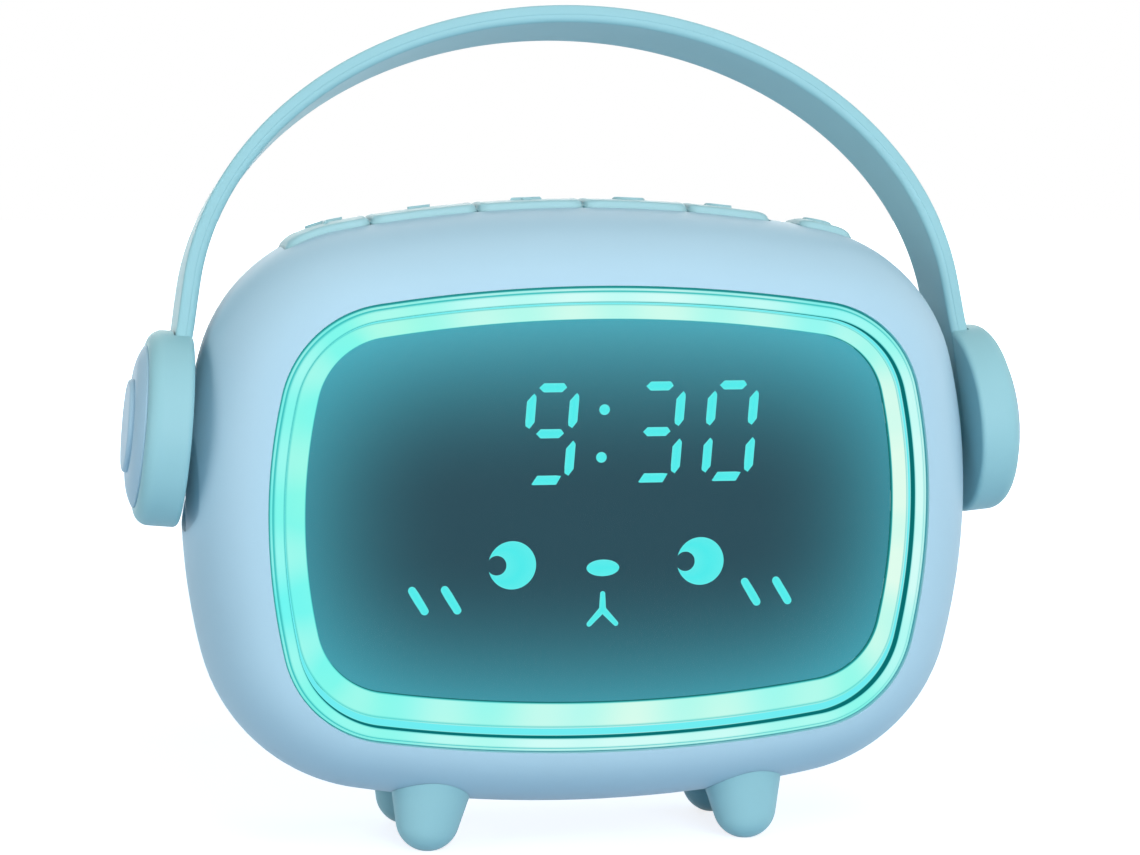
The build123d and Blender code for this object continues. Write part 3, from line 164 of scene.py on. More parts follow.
class Nodes:
    """A node tree whose nodes are all made by one method."""

    def __init__(self, owner: bpy.types.ID) -> None:
        """Start with an empty tree.

        Args:
            owner: Material or world that the tree belongs to.
        """
        owner.use_nodes = True
        self.tree = owner.node_tree
        self.tree.nodes.clear()

    def add(self, kind: str, settings: dict[str, object], inputs: dict[object, object]) -> bpy.types.Node:
        """Make a node, set what it is, then give its sockets their values or links.

        Args:
            kind: Node type.
            settings: Properties of the node, such as a Math node's operation.
            inputs: Name or number of a socket, to a number, a colour or another socket.

        Returns:
            The node.
        """
        node = self.tree.nodes.new(kind)
        for key, value in settings.items():
            setattr(node, key, value)
        for key, value in inputs.items():
            self.give(node.inputs[key], value)
        return node

    def give(self, socket: bpy.types.NodeSocket, value: object) -> None:
        """Set a socket to a number or colour, or link it.

        Args:
            socket: Socket that gets the value.
            value: Number, colour, output socket or wrapped socket.
        """
        if isinstance(value, Socket):
            value = value.link
        if isinstance(value, bpy.types.NodeSocket):
            self.tree.links.new(value, socket)
        else:
            socket.default_value = value

    def value(self, kind: str, settings: dict[str, object], inputs: dict[object, object]) -> Socket:
        """First output of a new node, ready for sums."""
        return Socket(self, self.add(kind, settings, inputs).outputs[0])

    def place(self) -> bpy.types.NodeSocket:
        """Object coordinates."""
        return self.add("ShaderNodeTexCoord", {}, {}).outputs["Object"]

    def split(self, vector: object) -> tuple[Socket, ...]:
        """The three parts of a vector."""
        return tuple(Socket(self, out) for out in self.add("ShaderNodeSeparateXYZ", {}, {0: vector}).outputs)

    def axes(self) -> tuple[Socket, ...]:
        """X, Y and Z of the Object coordinates, in millimetres."""
        scale = self.value("ShaderNodeVectorMath", {"operation": "SCALE"}, {0: self.place(), "Scale": 1 / MM})
        return self.split(scale)

    def noise(self, scale: float, detail: float) -> Socket:
        """Soft noise on Object coordinates, with a scale per metre."""
        return self.value("ShaderNodeTexNoise", {}, {"Vector": self.place(), "Scale": scale, "Detail": detail})

    def shade(self) -> Socket:
        """Attribute "shade" of the piece."""
        return Socket(self, self.add("ShaderNodeAttribute", {"attribute_name": "shade"}, {}).outputs["Fac"])

    def mix(self, factor: object, first: object, second: object, blend: str = "MIX") -> bpy.types.NodeSocket:
        """Mix of two colours."""
        return self.add("ShaderNodeMix", {"data_type": "RGBA", "blend_type": blend},
                        {0: factor, 6: first, 7: second}).outputs[2]

    def seen_ray(self) -> Socket:
        """Tell rays that show something from rays that light something.

        Returns:
            1 for a ray from the camera, a mirror or a clear piece, and 0 for lighting.
        """
        path = self.add("ShaderNodeLightPath", {}, {}).outputs
        seen = Socket(self, path["Is Camera Ray"])
        return seen.at_least(path["Is Glossy Ray"]).at_least(path["Is Transmission Ray"])


class Shader(Nodes):
    """A material with a Principled shader at its end."""

    def __init__(self, name: str) -> None:
        """Start a material that holds only its Principled shader.

        Args:
            name: Name of the material.
        """
        self.material = bpy.data.materials.new(name)
        super().__init__(self.material)
        self.principled = self.add("ShaderNodeBsdfPrincipled", {}, {})
        self.output = self.add("ShaderNodeOutputMaterial", {}, {"Surface": self.principled.outputs[0]})

    def set(self, **values: object) -> None:
        """Set sockets of the Principled shader, with underscores for spaces in their names."""
        for key, value in values.items():
            self.give(self.principled.inputs[key.replace("_", " ")], value)

    def bump(self, height: object, strength: float, distance: float) -> None:
        """Give the surface a fine relief."""
        self.set(Normal=self.value("ShaderNodeBump", {}, {"Height": height, "Strength": strength,
                                                          "Distance": distance}))


# --- surfaces ---


@dataclass(frozen=True)
class Outline:
    """Closed outline of tangent arcs, in millimetres: side, corner and crown arcs in each quarter."""

    half_width: float
    rise: float
    drop: float
    top_corner: float
    bottom_corner: float
    middle: float
    start: float  # directions, in degrees, between which the corner arcs run
    end: float

    def _quarter(self, height: float, corner: float, turn: np.ndarray) -> Edges:
        """Place in one quarter where the outward normal has turned so far from level.

        Each arc adds its radius times the change of the normal's cosine across, and of its sine up. The side
        and crown radii are the two that make the three arcs end at the half width and at the height.

        Args:
            height: Rise or drop of the quarter.
            corner: Corner radius.
            turn: Angles of the normal, from 0 to a quarter turn.

        Returns:
            Distance from the middle across, and from the widest line up or down.
        """
        a, b = math.radians(self.start), math.radians(self.end)
        wide = self.half_width - corner * (math.cos(a) - math.cos(b))
        tall = height - corner * (math.sin(b) - math.sin(a))
        side, crown = np.linalg.solve([[1 - math.cos(a), math.cos(b)], [math.sin(a), 1 - math.sin(b)]],
                                      [wide, tall])
        low, mid, high = np.minimum(turn, a), np.clip(turn, a, b), np.maximum(turn, b)
        across = self.half_width - (side * (1 - np.cos(low)) + corner * (math.cos(a) - np.cos(mid))
                                    + crown * (math.cos(b) - np.cos(high)))
        up = side * np.sin(low) + corner * (np.sin(mid) - math.sin(a)) + crown * (np.sin(high) - math.sin(b))
        return across, up

    def points(self, heading: np.ndarray, inset: float | np.ndarray = 0.0) -> np.ndarray:
        """Points (x, z) where the outward normal has these headings, moved in along the normal.

        Args:
            heading: Angles of the normal in radians, from +X towards +Z.
            inset: How far inside the outline.

        Returns:
            Array of (count, 2).
        """
        cosine, sine = np.cos(heading), np.sin(heading)
        turn = np.arctan2(np.abs(sine), np.abs(cosine))
        top = self._quarter(self.rise, self.top_corner, turn)
        bottom = self._quarter(self.drop, self.bottom_corner, turn)
        above = sine >= 0
        x = np.where(above, top[0], bottom[0]) * np.sign(cosine)
        z = self.middle + np.where(above, top[1], -bottom[1])
        return np.stack([x - inset * cosine, z - inset * sine], axis=-1)

    def headings(self, count: int) -> np.ndarray:
        """Headings of the normal at points evenly spread round the outline, from the right-hand side.

        Args:
            count: Number of points.

        Returns:
            Array of angles in radians.
        """
        dense = np.linspace(0.0, 2 * math.pi, OUTLINE_SAMPLES)
        length = distances(self.points(dense))
        return np.interp(np.arange(count) / count * length[-1], length, dense)


@dataclass(frozen=True)
class Station:
    """One corner of a profile that is carried round an outline."""

    outline: Outline
    inset: float
    depth: float
    shade: float = 0.0  # painted shade: from 1, a dark line along this corner, to -1, a lit trough
    slack: float = 0.0  # how much further in this corner lies towards the upper left

    def curve(self, heading: np.ndarray) -> np.ndarray:
        """Closed curve of this corner: the outline moved in, at this depth.

        Args:
            heading: Angles of the outline's normal.

        Returns:
            Rows of x, y, z and shade.
        """
        towards = np.maximum(0.0, np.cos(heading - SLACK_HEADING))
        flat = self.outline.points(heading, self.inset + self.slack * towards)
        depth, shade = (np.full(len(heading), v) for v in (self.depth, self.shade))
        return np.stack([flat[:, 0], depth, flat[:, 1], shade], axis=-1)


def carried(stations: Sequence[Station], heading: np.ndarray) -> np.ndarray:
    """Rows of a profile whose corners are carried round their outlines."""
    return np.stack([station.curve(heading) for station in stations])


def to_centre(row: np.ndarray, steps: int) -> np.ndarray:
    """Rows that shrink evenly from a closed row to its middle: middle + s (row - middle), s from 1 to 0.

    Args:
        row: Closed row of points.
        steps: Number of rows to make.

    Returns:
        The rows, without the first one.
    """
    share = np.linspace(1.0, 0.0, steps + 1)[1:, None, None]
    middle = row.mean(axis=0, keepdims=True)
    return middle + share * (row - middle)


@dataclass(frozen=True)
class Grid:
    """Rows of points, each closed on itself, whose last row may run on into the first."""

    rows: np.ndarray  # (rows, count, 3 or 4) in millimetres; the fourth value is the shade
    joined: bool = False

    def parts(self) -> tuple[np.ndarray, np.ndarray, np.ndarray]:
        """Points with their shade, four-sided faces between neighbours, and the UV place of each face corner.

        U is the share of the way round a row, and V the share of the mean way across the rows.

        Returns:
            Arrays (points, 4), (faces, 4) and (faces, 4, 2).
        """
        rows = self.rows if self.rows.shape[2] > 3 else np.pad(self.rows, ((0, 0), (0, 0), (0, 1)))
        used, count = rows.shape[:2]
        index = np.arange(used * count).reshape(used, count)
        if self.joined:
            rows, index = np.concatenate([rows, rows[:1]]), np.concatenate([index, index[:1]])
        lower, upper = index[:-1], index[1:]
        faces = np.stack([lower, np.roll(lower, -1, 1), np.roll(upper, -1, 1), upper], -1).reshape(-1, 4)
        steps = np.linalg.norm(np.diff(rows[..., :3], axis=0), axis=-1).mean(axis=1)
        share = np.concatenate([[0.0], np.cumsum(steps)]) / max(steps.sum(), 1e-9)
        around = np.arange(count + 1) / count
        row, column = np.meshgrid(np.arange(len(rows) - 1), np.arange(count), indexing="ij")
        u = np.stack([around[column], around[column + 1], around[column + 1], around[column]], -1)
        v = np.stack([share[row], share[row], share[row + 1], share[row + 1]], -1)
        return rows[:used].reshape(-1, 4), faces, np.stack([u, v], -1).reshape(-1, 4, 2)


def grid_piece(name: str, *grids: Grid, sharp: float = 40.0) -> bpy.types.Object:
    """Make one piece from grids of points, with the UV map "surface" and the attribute "shade".

    Points that meet are merged, which closes the poles, and the faces are turned outwards.

    Args:
        name: Name of the piece.
        grids: Its surfaces.
        sharp: Angle in degrees past which an edge stays sharp.

    Returns:
        The piece, at the origin, in metres.
    """
    places, faces, uvs = zip(*(grid.parts() for grid in grids))
    starts = np.cumsum([0] + [len(part) for part in places])
    places = np.concatenate(places)
    faces = np.concatenate([part + start for part, start in zip(faces, starts)])
    mesh = bpy.data.meshes.new(name)
    mesh.from_pydata((places[:, :3] * MM).tolist(), [], faces.tolist())
    mesh.uv_layers.new(name="surface").data.foreach_set("uv", np.concatenate(uvs).reshape(-1))
    mesh.attributes.new("shade", "FLOAT", "POINT").data.foreach_set("value", places[:, 3])
    work = bmesh.new()
    work.from_mesh(mesh)
    bmesh.ops.remove_doubles(work, verts=work.verts, dist=MERGED)
    bmesh.ops.dissolve_degenerate(work, edges=work.edges, dist=MERGED / 10)
    bmesh.ops.recalc_face_normals(work, faces=work.faces)
    work.to_mesh(mesh)
    work.free()
    mesh.shade_smooth()
    mesh.set_sharp_from_angle(angle=math.radians(sharp))
    return placed(name, mesh)


def slab(first: np.ndarray, second: np.ndarray, low: float, high: float, edge: float) -> np.ndarray:
    """Raised flat shape between two edge curves, with softened upper edges.

    Each section runs from the first curve to the second: place = first + q (second - first), where q goes
    0, 0, e, 1/2, 1 - e, 1, 1 and e is the edge over the width there.

    Args:
        first: Points (n, 2) of one edge.
        second: Points (n, 2) of the other edge, which meets the first at both ends.
        low: Height of its foot.
        high: Height of its top.
        edge: Width and height of the softened edge.

    Returns:
        Array (n, 7, 4) of the two flat values, the height, and a shade that is 1 at the edges.
    """
    width = np.linalg.norm(second - first, axis=1)
    e = np.minimum(edge / np.maximum(width, 1e-6), 0.5)
    zero = np.zeros_like(e)
    q = np.stack([zero, zero, e, zero + 0.5, 1 - e, zero + 1, zero + 1], -1)[..., None]
    flat = first[:, None] + q * (second - first)[:, None]
    height = np.broadcast_to([low, high - edge, high, high, high, high - edge, low], flat.shape[:2])
    shade = np.broadcast_to([1.0, 1.0, 0.3, 0.0, 0.3, 1.0, 1.0], flat.shape[:2])
    return np.concatenate([flat, height[..., None], shade[..., None]], -1)


def stroke(path: np.ndarray, half: float | np.ndarray, closed: bool = False) -> Edges:
    """Edge curves of a pen stroke along a path: path + n h and path - n h, with n the path's left normal.

    The ends of an open stroke are round: past each end the path goes on by h sin a while its half width is
    h cos a.

    Args:
        path: Points (n, 2).
        half: Half width, one for all or one for each point.
        closed: Whether the path closes on itself.

    Returns:
        The two edge curves.
    """
    half = np.broadcast_to(np.asarray(half, float), len(path)).copy()
    around = np.concatenate([path[-2:-1], path, path[1:2]]) if closed else path
    along = np.gradient(around, axis=0)[1:-1] if closed else np.gradient(path, axis=0)
    along /= np.linalg.norm(along, axis=1, keepdims=True)
    if not closed:
        turn = np.linspace(0.0, QUARTER, ROUND_STEPS + 1)[1:]
        before = path[0] - along[0] * (half[0] * np.sin(turn[::-1]))[:, None]
        after = path[-1] + along[-1] * (half[-1] * np.sin(turn))[:, None]
        path = np.concatenate([before, path, after])
        along = np.concatenate([np.repeat(along[:1], ROUND_STEPS, 0), along,
                                np.repeat(along[-1:], ROUND_STEPS, 0)])
        half = np.concatenate([half[0] * np.cos(turn[::-1]), half, half[-1] * np.cos(turn)])
    normal = np.stack([-along[:, 1], along[:, 0]], -1) * half[:, None]
    return path + normal, path - normal


def arc(centre: Pair, radius: float | Pair, start: float, end: float, count: int = 33) -> np.ndarray:
    """Points centre + (a cos t, b sin t) for t between two angles in degrees.

    Args:
        centre: Middle of the arc.
        radius: Radius, or the two radii of an ellipse.
        start: Angle of the first point.
        end: Angle of the last point.
        count: Number of points.

    Returns:
        Array (count, 2).
    """
    wide, tall = radius if isinstance(radius, tuple) else (radius, radius)
    t = np.radians(np.linspace(start, end, count))
    return np.stack([centre[0] + wide * np.cos(t), centre[1] + tall * np.sin(t)], -1)


def run(*corners: Pair, step: float = 0.4) -> np.ndarray:
    """Points a + s (b - a) along the straight runs between corners.

    Args:
        corners: Ends of the runs.
        step: Distance between points, at most about this.

    Returns:
        Array (count, 2).
    """
    parts = []
    for a, b in zip(corners, corners[1:]):
        count = max(2, int(math.dist(a, b) / step) + 1)
        parts.append(np.linspace(a, b, count)[:-1])
    return np.concatenate([*parts, [corners[-1]]])


def fitted(piece: bpy.types.Object, body: str, slot: str, *nodes: str) -> None:
    """Dress a piece, let it ride on its body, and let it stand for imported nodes.

    Args:
        piece: The piece.
        body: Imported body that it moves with.
        slot: Material slot of the record, which names its finish.
        nodes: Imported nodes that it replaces.
    """
    piece.data.materials.append(slot_material(slot))
    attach(piece, body)
    if nodes:
        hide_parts(*nodes)
    log.info("%s: %d faces on %s", piece.name, len(piece.data.polygons), body)


# --- finishes: a noise is given by its scale per metre and its detail ---


@dataclass(frozen=True)
class Plastic:
    """Moulded plastic with a faint cloudiness, a fine spark-eroded grain and a soft gloss."""

    name: str
    colour: Colour
    roughness: float = 0.45
    uneven: float = 0.06  # how far the roughness varies
    cloud: float = 0.03  # share by which the colour varies to each side
    grain: float = 0.10
    grain_depth: float = 0.04 * MM
    specular: float = 0.16
    cloud_noise: Pair = (38.0, 2.0)
    gloss_noise: Pair = (220.0, 3.0)
    grain_noise: Pair = (2600.0, 2.0)

    def material(self) -> bpy.types.Material:
        """Make the finish.

        Returns:
            Material of this plastic.
        """
        shader = Shader(self.name)
        dark, light = scaled(self.colour, 1 - self.cloud), scaled(self.colour, 1 + self.cloud)
        shader.set(Base_Color=shader.mix(shader.noise(*self.cloud_noise), dark, light),
                   Roughness=self.roughness + self.uneven * (shader.noise(*self.gloss_noise) - 0.5),
                   Specular_IOR_Level=self.specular)
        shader.bump(shader.noise(*self.grain_noise), self.grain, self.grain_depth)
        return shader.material


@dataclass(frozen=True)
class Metal:
    """Bare turned or rolled metal with fine streaks."""

    name: str
    colour: Colour
    roughness: float = 0.32
    uneven: float = 0.12
    relief: float = 0.08
    relief_depth: float = 0.03 * MM
    streak_noise: Pair = (900.0, 4.0)

    def material(self) -> bpy.types.Material:
        """Make the finish.

        Returns:
            Material of this metal.
        """
        shader = Shader(self.name)
        streaks = shader.noise(*self.streak_noise)
        roughness = self.roughness + self.uneven * (streaks - 0.5)
        shader.set(Base_Color=self.colour, Metallic=1.0, Roughness=roughness)
        shader.bump(streaks, self.relief, self.relief_depth)
        return shader.material


@dataclass(frozen=True)
class Board:
    """Green circuit board: tracks show where sin(p x + sin(q z)) sin(r z) is over a limit."""

    name: str
    colour: Colour = srgb(22, 92, 58)
    track_gain: float = 1.5  # how many times brighter the tracks are
    waves: Triple = (2.1, 0.35, 1.7)  # p, q and r, per millimetre
    limit: float = 0.35  # value past which a track shows

    def material(self) -> bpy.types.Material:
        """Make the finish.

        Returns:
            Material of this board.
        """
        shader = Shader(self.name)
        x, _, z = shader.axes()
        p, q, r = self.waves
        tracks = (x * p + (z * q).sine()).sine() * (z * r).sine()
        bright = scaled(self.colour, self.track_gain)
        shader.set(Base_Color=shader.mix(tracks > self.limit, self.colour, bright), Roughness=0.35)
        return shader.material


@dataclass(frozen=True)
class Glowing:
    """Lit mark: even light, a little paler along its edges."""

    name: str
    colour: Colour
    rim: Colour = srgb(132, 250, 246)
    rim_share: float = 0.8
    dim: float = 0.96  # share of the light where it is darkest
    drift_noise: Pair = (300.0, 2.0)

    def material(self) -> bpy.types.Material:
        """Make the finish.

        Returns:
            Material of this lit mark.
        """
        shader = Shader(self.name)
        tone = shader.mix(shader.noise(*self.drift_noise), scaled(self.colour, self.dim), self.colour)
        tone = shader.mix(shader.shade().clamped() * self.rim_share, tone, self.rim)
        shader.set(Base_Color=UNLIT, Roughness=0.5, Specular_IOR_Level=0.1,
                   Emission_Color=tone, Emission_Strength=1.0)
        return shader.material


@dataclass(frozen=True)
class GlowPlastic:
    """Clear plastic lit from behind: cyan, paler over each lamp and towards the right, with a painted highlight
    above and below the display and dark lines of painted shade.
    """

    name: str
    cyan: Colour = srgb(112, 248, 243)
    mint: Colour = srgb(152, 253, 226)
    pale: Colour = srgb(226, 254, 238)
    # colours of painted shade, half and full, for dark lines along grooves, steps and gaps
    half_shade_teal: Colour = srgb(70, 200, 198)
    shade_line: Colour = srgb(8, 104, 106)
    trough: Colour = srgb(112, 238, 242)
    lamps: int = 20
    lamp_pale: float = 0.26  # how much paler it is over a lamp
    drift_pale: float = 0.9  # how far its paleness drifts from place to place
    crown_highlight: float = 0.6  # painted highlight: how much paler it is above and below the display
    right_pale: float = 0.95  # how much paler it is on the right
    middle: float = 60.0  # height of its middle
    crown: Pair = (24.0, 8.0)  # how far above and below the middle the painted highlight starts, and its run
    crown_reach: Pair = (1.15, 38.0)  # it fades sideways as the first less |x| over the second
    right: Pair = (40.0, 9.0)  # where the pale right side starts, and its run
    right_reach: Pair = (1.5, 24.0)  # it fades as the first less the height from the middle over the second
    mint_spread: Triple = (2.2, 0.7, 0.8)  # contrast, threshold and strength of the mint
    drift_noise: Pair = (26.0, 1.0)
    mint_noise: Pair = (41.0, 1.0)

    def material(self) -> bpy.types.Material:
        """Make the finish: painted shade 0 to 1/2 turns the light to half_shade_teal and 1/2 to 1 to
        shade_line, below 0 to trough.

        Returns:
            Material of this lit plastic.
        """
        shader = Shader(self.name)
        x, _, z = shader.axes()
        uv = shader.split(shader.value("ShaderNodeUVMap", {"uv_map": "surface"}, {}))
        spots = (uv[0] * (2 * math.pi * self.lamps)).sine() * 0.5 + 0.5
        level = abs(z - self.middle)
        # painted highlight above and below the display, fading sideways
        crown = ((level - self.crown[0]) / self.crown[1]).clamped()
        crown = crown * (self.crown_reach[0] - abs(x) / self.crown_reach[1]).clamped() * self.crown_highlight
        right = ((x - self.right[0]) / self.right[1]).clamped()
        right = right * (self.right_reach[0] - level / self.right_reach[1]).clamped() * self.right_pale
        drift = (shader.noise(*self.drift_noise) - 0.5) * self.drift_pale
        contrast, threshold, strength = self.mint_spread
        green = (shader.noise(*self.mint_noise) * contrast - threshold).clamped()
        tone = shader.mix(green * strength, self.cyan, self.mint)
        tone = shader.mix((spots * self.lamp_pale + drift + crown + right).clamped(), tone, self.pale)
        # painted shade, read from the piece's attribute
        shade = shader.shade()
        tone = shader.mix((-shade).clamped(), tone, self.trough)
        tone = shader.mix((shade * 2.0).clamped(), tone, self.half_shade_teal)
        tone = shader.mix((shade * 2.0 - 1.0).clamped(), tone, self.shade_line)
        shader.set(Base_Color=UNLIT, Roughness=0.3, Specular_IOR_Level=0.0,
                   Emission_Color=tone, Emission_Strength=0.97)
        return shader.material


@dataclass(frozen=True)
class LitMask:
    """Dark display plate with the ring's light spilling in from its four edges.

    A spill is given by its reach in millimetres, its power and its strength.
    """

    name: str
    dark: Colour = (0.0145, 0.066, 0.092, 1.0)
    light: Colour = (0.155, 1.12, 1.36, 1.0)
    half_width: float = 51.5
    widest: float = 59.9
    top: float = 93.0
    bottom: float = 27.0
    side_bulge: float = 330.0  # the sides come in by the height from the widest line, squared, over this
    crown_bulge: float = 530.0  # the top and the bottom come in by x squared over this
    side_spill: Triple = (28.5, 2.5, 0.19)
    top_spill: Triple = (31.0, 2.2, 0.31)
    bottom_spill: Triple = (26.6, 2.2, 0.23)
    crossing: float = 2.2  # how much the light from above and below drowns that from the sides

    @staticmethod
    def _spilled(distance: Socket, spill: Triple) -> Socket:
        """Light at a distance from an edge: strength times (1 - distance / reach) to the power."""
        return (1.0 - distance / spill[0]).clamped() ** spill[1] * spill[2]

    def material(self) -> bpy.types.Material:
        """Make the finish.

        Returns:
            Material of this plate.
        """
        shader = Shader(self.name)
        x, _, z = shader.axes()
        reach = self.half_width - (z - self.widest) * (z - self.widest) * (1 / self.side_bulge)
        crown = x * x * (1 / self.crown_bulge)
        sides = self._spilled(reach + x, self.side_spill) + self._spilled(reach - x, self.side_spill)
        level = (self._spilled(self.top - crown - z, self.top_spill)
                 + self._spilled(z - self.bottom - crown, self.bottom_spill))
        glow = level + sides * (1.0 - level * self.crossing)
        tone = shader.mix(1.0, self.dark, shader.mix(glow, (0.0, 0.0, 0.0, 1.0), self.light), "ADD")
        shader.set(Base_Color=(0.004, 0.006, 0.007, 1.0), Roughness=0.6, Specular_IOR_Level=0.1,
                   Emission_Color=tone, Emission_Strength=1.0)
        return shader.material


@dataclass(frozen=True)
class SmokedPane:
    """Polished smoked window: nearly clear, with a faint gloss."""

    name: str
    colour: Colour = (0.01, 0.02, 0.025, 1.0)
    cover: float = 0.06

    def material(self) -> bpy.types.Material:
        """Make the finish.

        Returns:
            Material of this pane.
        """
        shader = Shader(self.name)
        shader.set(Base_Color=self.colour, Roughness=0.08, Specular_IOR_Level=0.12, Alpha=self.cover)
        return shader.material


SLOT_FINISHES = {
    "body_shell": Plastic("body_plastic", srgb(178, 209, 224)),
    "trim": Plastic("trim_plastic", srgb(154, 201, 208)),
    "cap": Plastic("cap_plastic", srgb(170, 202, 219)),
    "key": Plastic("key_plastic", srgb(164, 204, 210)),
    # the ring's painted highlight above and below the display is stronger
    "ring": GlowPlastic("ring_lit_plastic", pale=srgb(212, 254, 248), crown_highlight=0.9),
    "guide": GlowPlastic("guide_lit_plastic"),
    "lens": SmokedPane("window_smoke"),
    "lit_mark": Glowing("mark_glow", srgb(80, 246, 245)),
    "mask": LitMask("mask_lit"),
    "board": Board("board_green"),
    "chip": Plastic("chip_black", srgb(28, 28, 30), 0.5),
    "lamp": Plastic("lamp_white", srgb(236, 236, 226), 0.3),
    "steel": Metal("screw_steel", srgb(196, 197, 200)),
    "magnet": Metal("magnet_iron", srgb(110, 110, 112), 0.5),
    "cone": Plastic("cone_paper", srgb(34, 34, 36), 0.8),
    "soft": Plastic("gasket_foam", srgb(44, 44, 46), 0.95),
    "cell": Plastic("cell_sleeve", srgb(60, 120, 170), 0.3),
    "holder": Plastic("holder_plastic", srgb(36, 36, 38), 0.5),
    "contact": Metal("contact_spring", srgb(205, 200, 190)),
    "lead": Plastic("lead_sheath", srgb(170, 40, 40), 0.4),
    "flex": Plastic("ribbon_film", srgb(190, 140, 60), 0.3),
}


@cache
def slot_material(slot: str) -> bpy.types.Material:
    """Material of a slot of the record, made once."""
    return SLOT_FINISHES[slot].material()


# --- studio ---


@dataclass(frozen=True)
class View:
    """Where the camera stands, and how it is framed."""

    azimuth: float = -12.68  # degrees
    elevation: float = 5.67
    roll: float = -0.472
    distance: float = 576.3  # millimetres
    target: Triple = (0.0, 0.0, 72.3)
    image_width: int = 1140
    focal_pixels: float = 3247.5
    offset: Pair = (7.09, 0.31)  # pixels right and down

    def camera(self) -> bpy.types.Object:
        """Make the scene's camera.

        Returns:
            The camera.
        """
        a, e, r = (math.radians(v) for v in (self.azimuth, self.elevation, self.roll))
        back = Vector((math.sin(a) * math.cos(e), -math.cos(a) * math.cos(e), math.sin(e)))
        right = Vector((0.0, 0.0, 1.0)).cross(back).normalized()
        up = back.cross(right)
        turned_right = right * math.cos(r) - up * math.sin(r)
        turned_up = up * math.cos(r) + right * math.sin(r)
        data = bpy.data.cameras.new("studio_camera")
        data.sensor_width = 36.0
        data.lens = self.focal_pixels / self.image_width * data.sensor_width
        data.shift_x = -self.offset[0] / self.image_width
        data.shift_y = self.offset[1] / self.image_width
        data.clip_start, data.clip_end = 0.01, 20.0
        camera = placed("studio_camera", data)
        spot = Matrix.Translation((Vector(self.target) + back * self.distance) * MM)
        camera.matrix_world = spot @ Matrix((turned_right, turned_up, back)).transposed().to_4x4()
        return camera


@dataclass(frozen=True)
class SoftBox:
    """Square lamp, wide enough for soft shadows, aimed at the middle of the clock."""

    name: str
    place: Triple  # metres, as its size
    size: float
    power: float
    colour: Triple
    aim: Triple = (0.0, 0.0, 0.07)

    def light(self) -> bpy.types.Object:
        """Make the lamp.

        Returns:
            The lamp.
        """
        data = bpy.data.lights.new(self.name, "AREA")
        data.shape = "SQUARE"
        data.size, data.energy, data.color = self.size, self.power, self.colour
        lamp = placed(self.name, data)
        lamp.location = self.place
        lamp.rotation_euler = (Vector(self.aim) - Vector(self.place)).to_track_quat("-Z", "Y").to_euler()
        return lamp


@dataclass
class Studio:
    """Plain pale floor, white surroundings, soft lamps and the camera."""

    view: View = field(default_factory=View)
    ambient: float = 0.17
    ambient_colour: Colour = (0.36, 0.8, 1.0, 1.0)
    floor_size: float = 6.0  # metres
    floor_colour: Colour = (0.42, 0.57, 0.7, 1.0)
    floor_glow: float = 0.8  # light of its own that the seen floor has, so that it meets the white
    far_glow: float = 0.6  # how much more it has far off
    glow_run: float = 500.0  # millimetres over which that comes in, from half of them on
    glow_colour: Colour = (1.0, 0.97, 0.95, 1.0)
    lamps: tuple[SoftBox, ...] = (
        SoftBox("key_lamp", (0.1, -0.95, 0.85), 0.6, 4.9, (1.0, 0.96, 0.92)),
        SoftBox("right_lamp", (1.2, 0.0, 0.4), 0.9, 3.4, (1.0, 0.95, 0.9)),
        SoftBox("left_lamp", (-1.15, -0.35, 0.18), 0.9, 6.9, (1.0, 0.96, 0.93)),
        SoftBox("low_lamp", (0.15, -1.1, 0.06), 0.6, 10.4, (0.95, 0.96, 1.0), (0.0, 0.0, 0.03)),
        SoftBox("back_lamp", (0.1, 1.2, 0.35), 0.9, 5.5, (1.0, 0.96, 0.92)),
        SoftBox("top_lamp", (0.0, 0.15, 1.1), 0.9, 2.1, (1.0, 0.97, 0.94)),
    )

    def build(self) -> None:
        """Make everything that isn't the clock."""
        bpy.context.scene.view_settings.view_transform = "Standard"
        bpy.context.scene.camera = self.view.camera()
        for lamp in self.lamps:
            lamp.light()
        self.surroundings()
        self.floor()

    def surroundings(self) -> None:
        """White where it is seen, mirrored or seen through, and a plain even light elsewhere."""
        bpy.context.scene.world = bpy.data.worlds.new("surroundings")
        nodes = Nodes(bpy.context.scene.world)
        looks = (((1.0, 1.0, 1.0, 1.0), 1.0), (self.ambient_colour, self.ambient))
        white, plain = (nodes.value("ShaderNodeBackground", {}, {"Color": colour, "Strength": strength})
                        for colour, strength in looks)
        mix = nodes.value("ShaderNodeMixShader", {}, {0: nodes.seen_ray(), 1: plain, 2: white})
        nodes.add("ShaderNodeOutputWorld", {}, {"Surface": mix})

    def floor(self) -> None:
        """Pale floor that keeps the shadow of the clock and otherwise meets the white surroundings."""
        half = self.floor_size / 2
        corners = [(-half, -half, 0.0), (half, -half, 0.0), (half, half, 0.0), (-half, half, 0.0)]
        mesh = bpy.data.meshes.new("floor")
        mesh.from_pydata(corners, [], [(0, 1, 2, 3)])
        floor = placed("floor", mesh)
        shader = Shader("floor_card")
        x, y, _ = shader.axes()
        away = ((x * x + y * y) ** 0.5 * (1 / self.glow_run) - 0.5).clamped()
        shader.set(Base_Color=self.floor_colour, Roughness=0.9, Specular_IOR_Level=0.0)
        strength = shader.seen_ray() * (away * self.far_glow + self.floor_glow)
        glow = shader.value("ShaderNodeEmission", {}, {"Color": self.glow_colour, "Strength": strength})
        both = shader.value("ShaderNodeAddShader", {}, {0: shader.principled.outputs[0], 1: glow})
        shader.give(shader.output.inputs["Surface"], both)
        mesh.materials.append(shader.material)


# --- light ring, guide and display ---

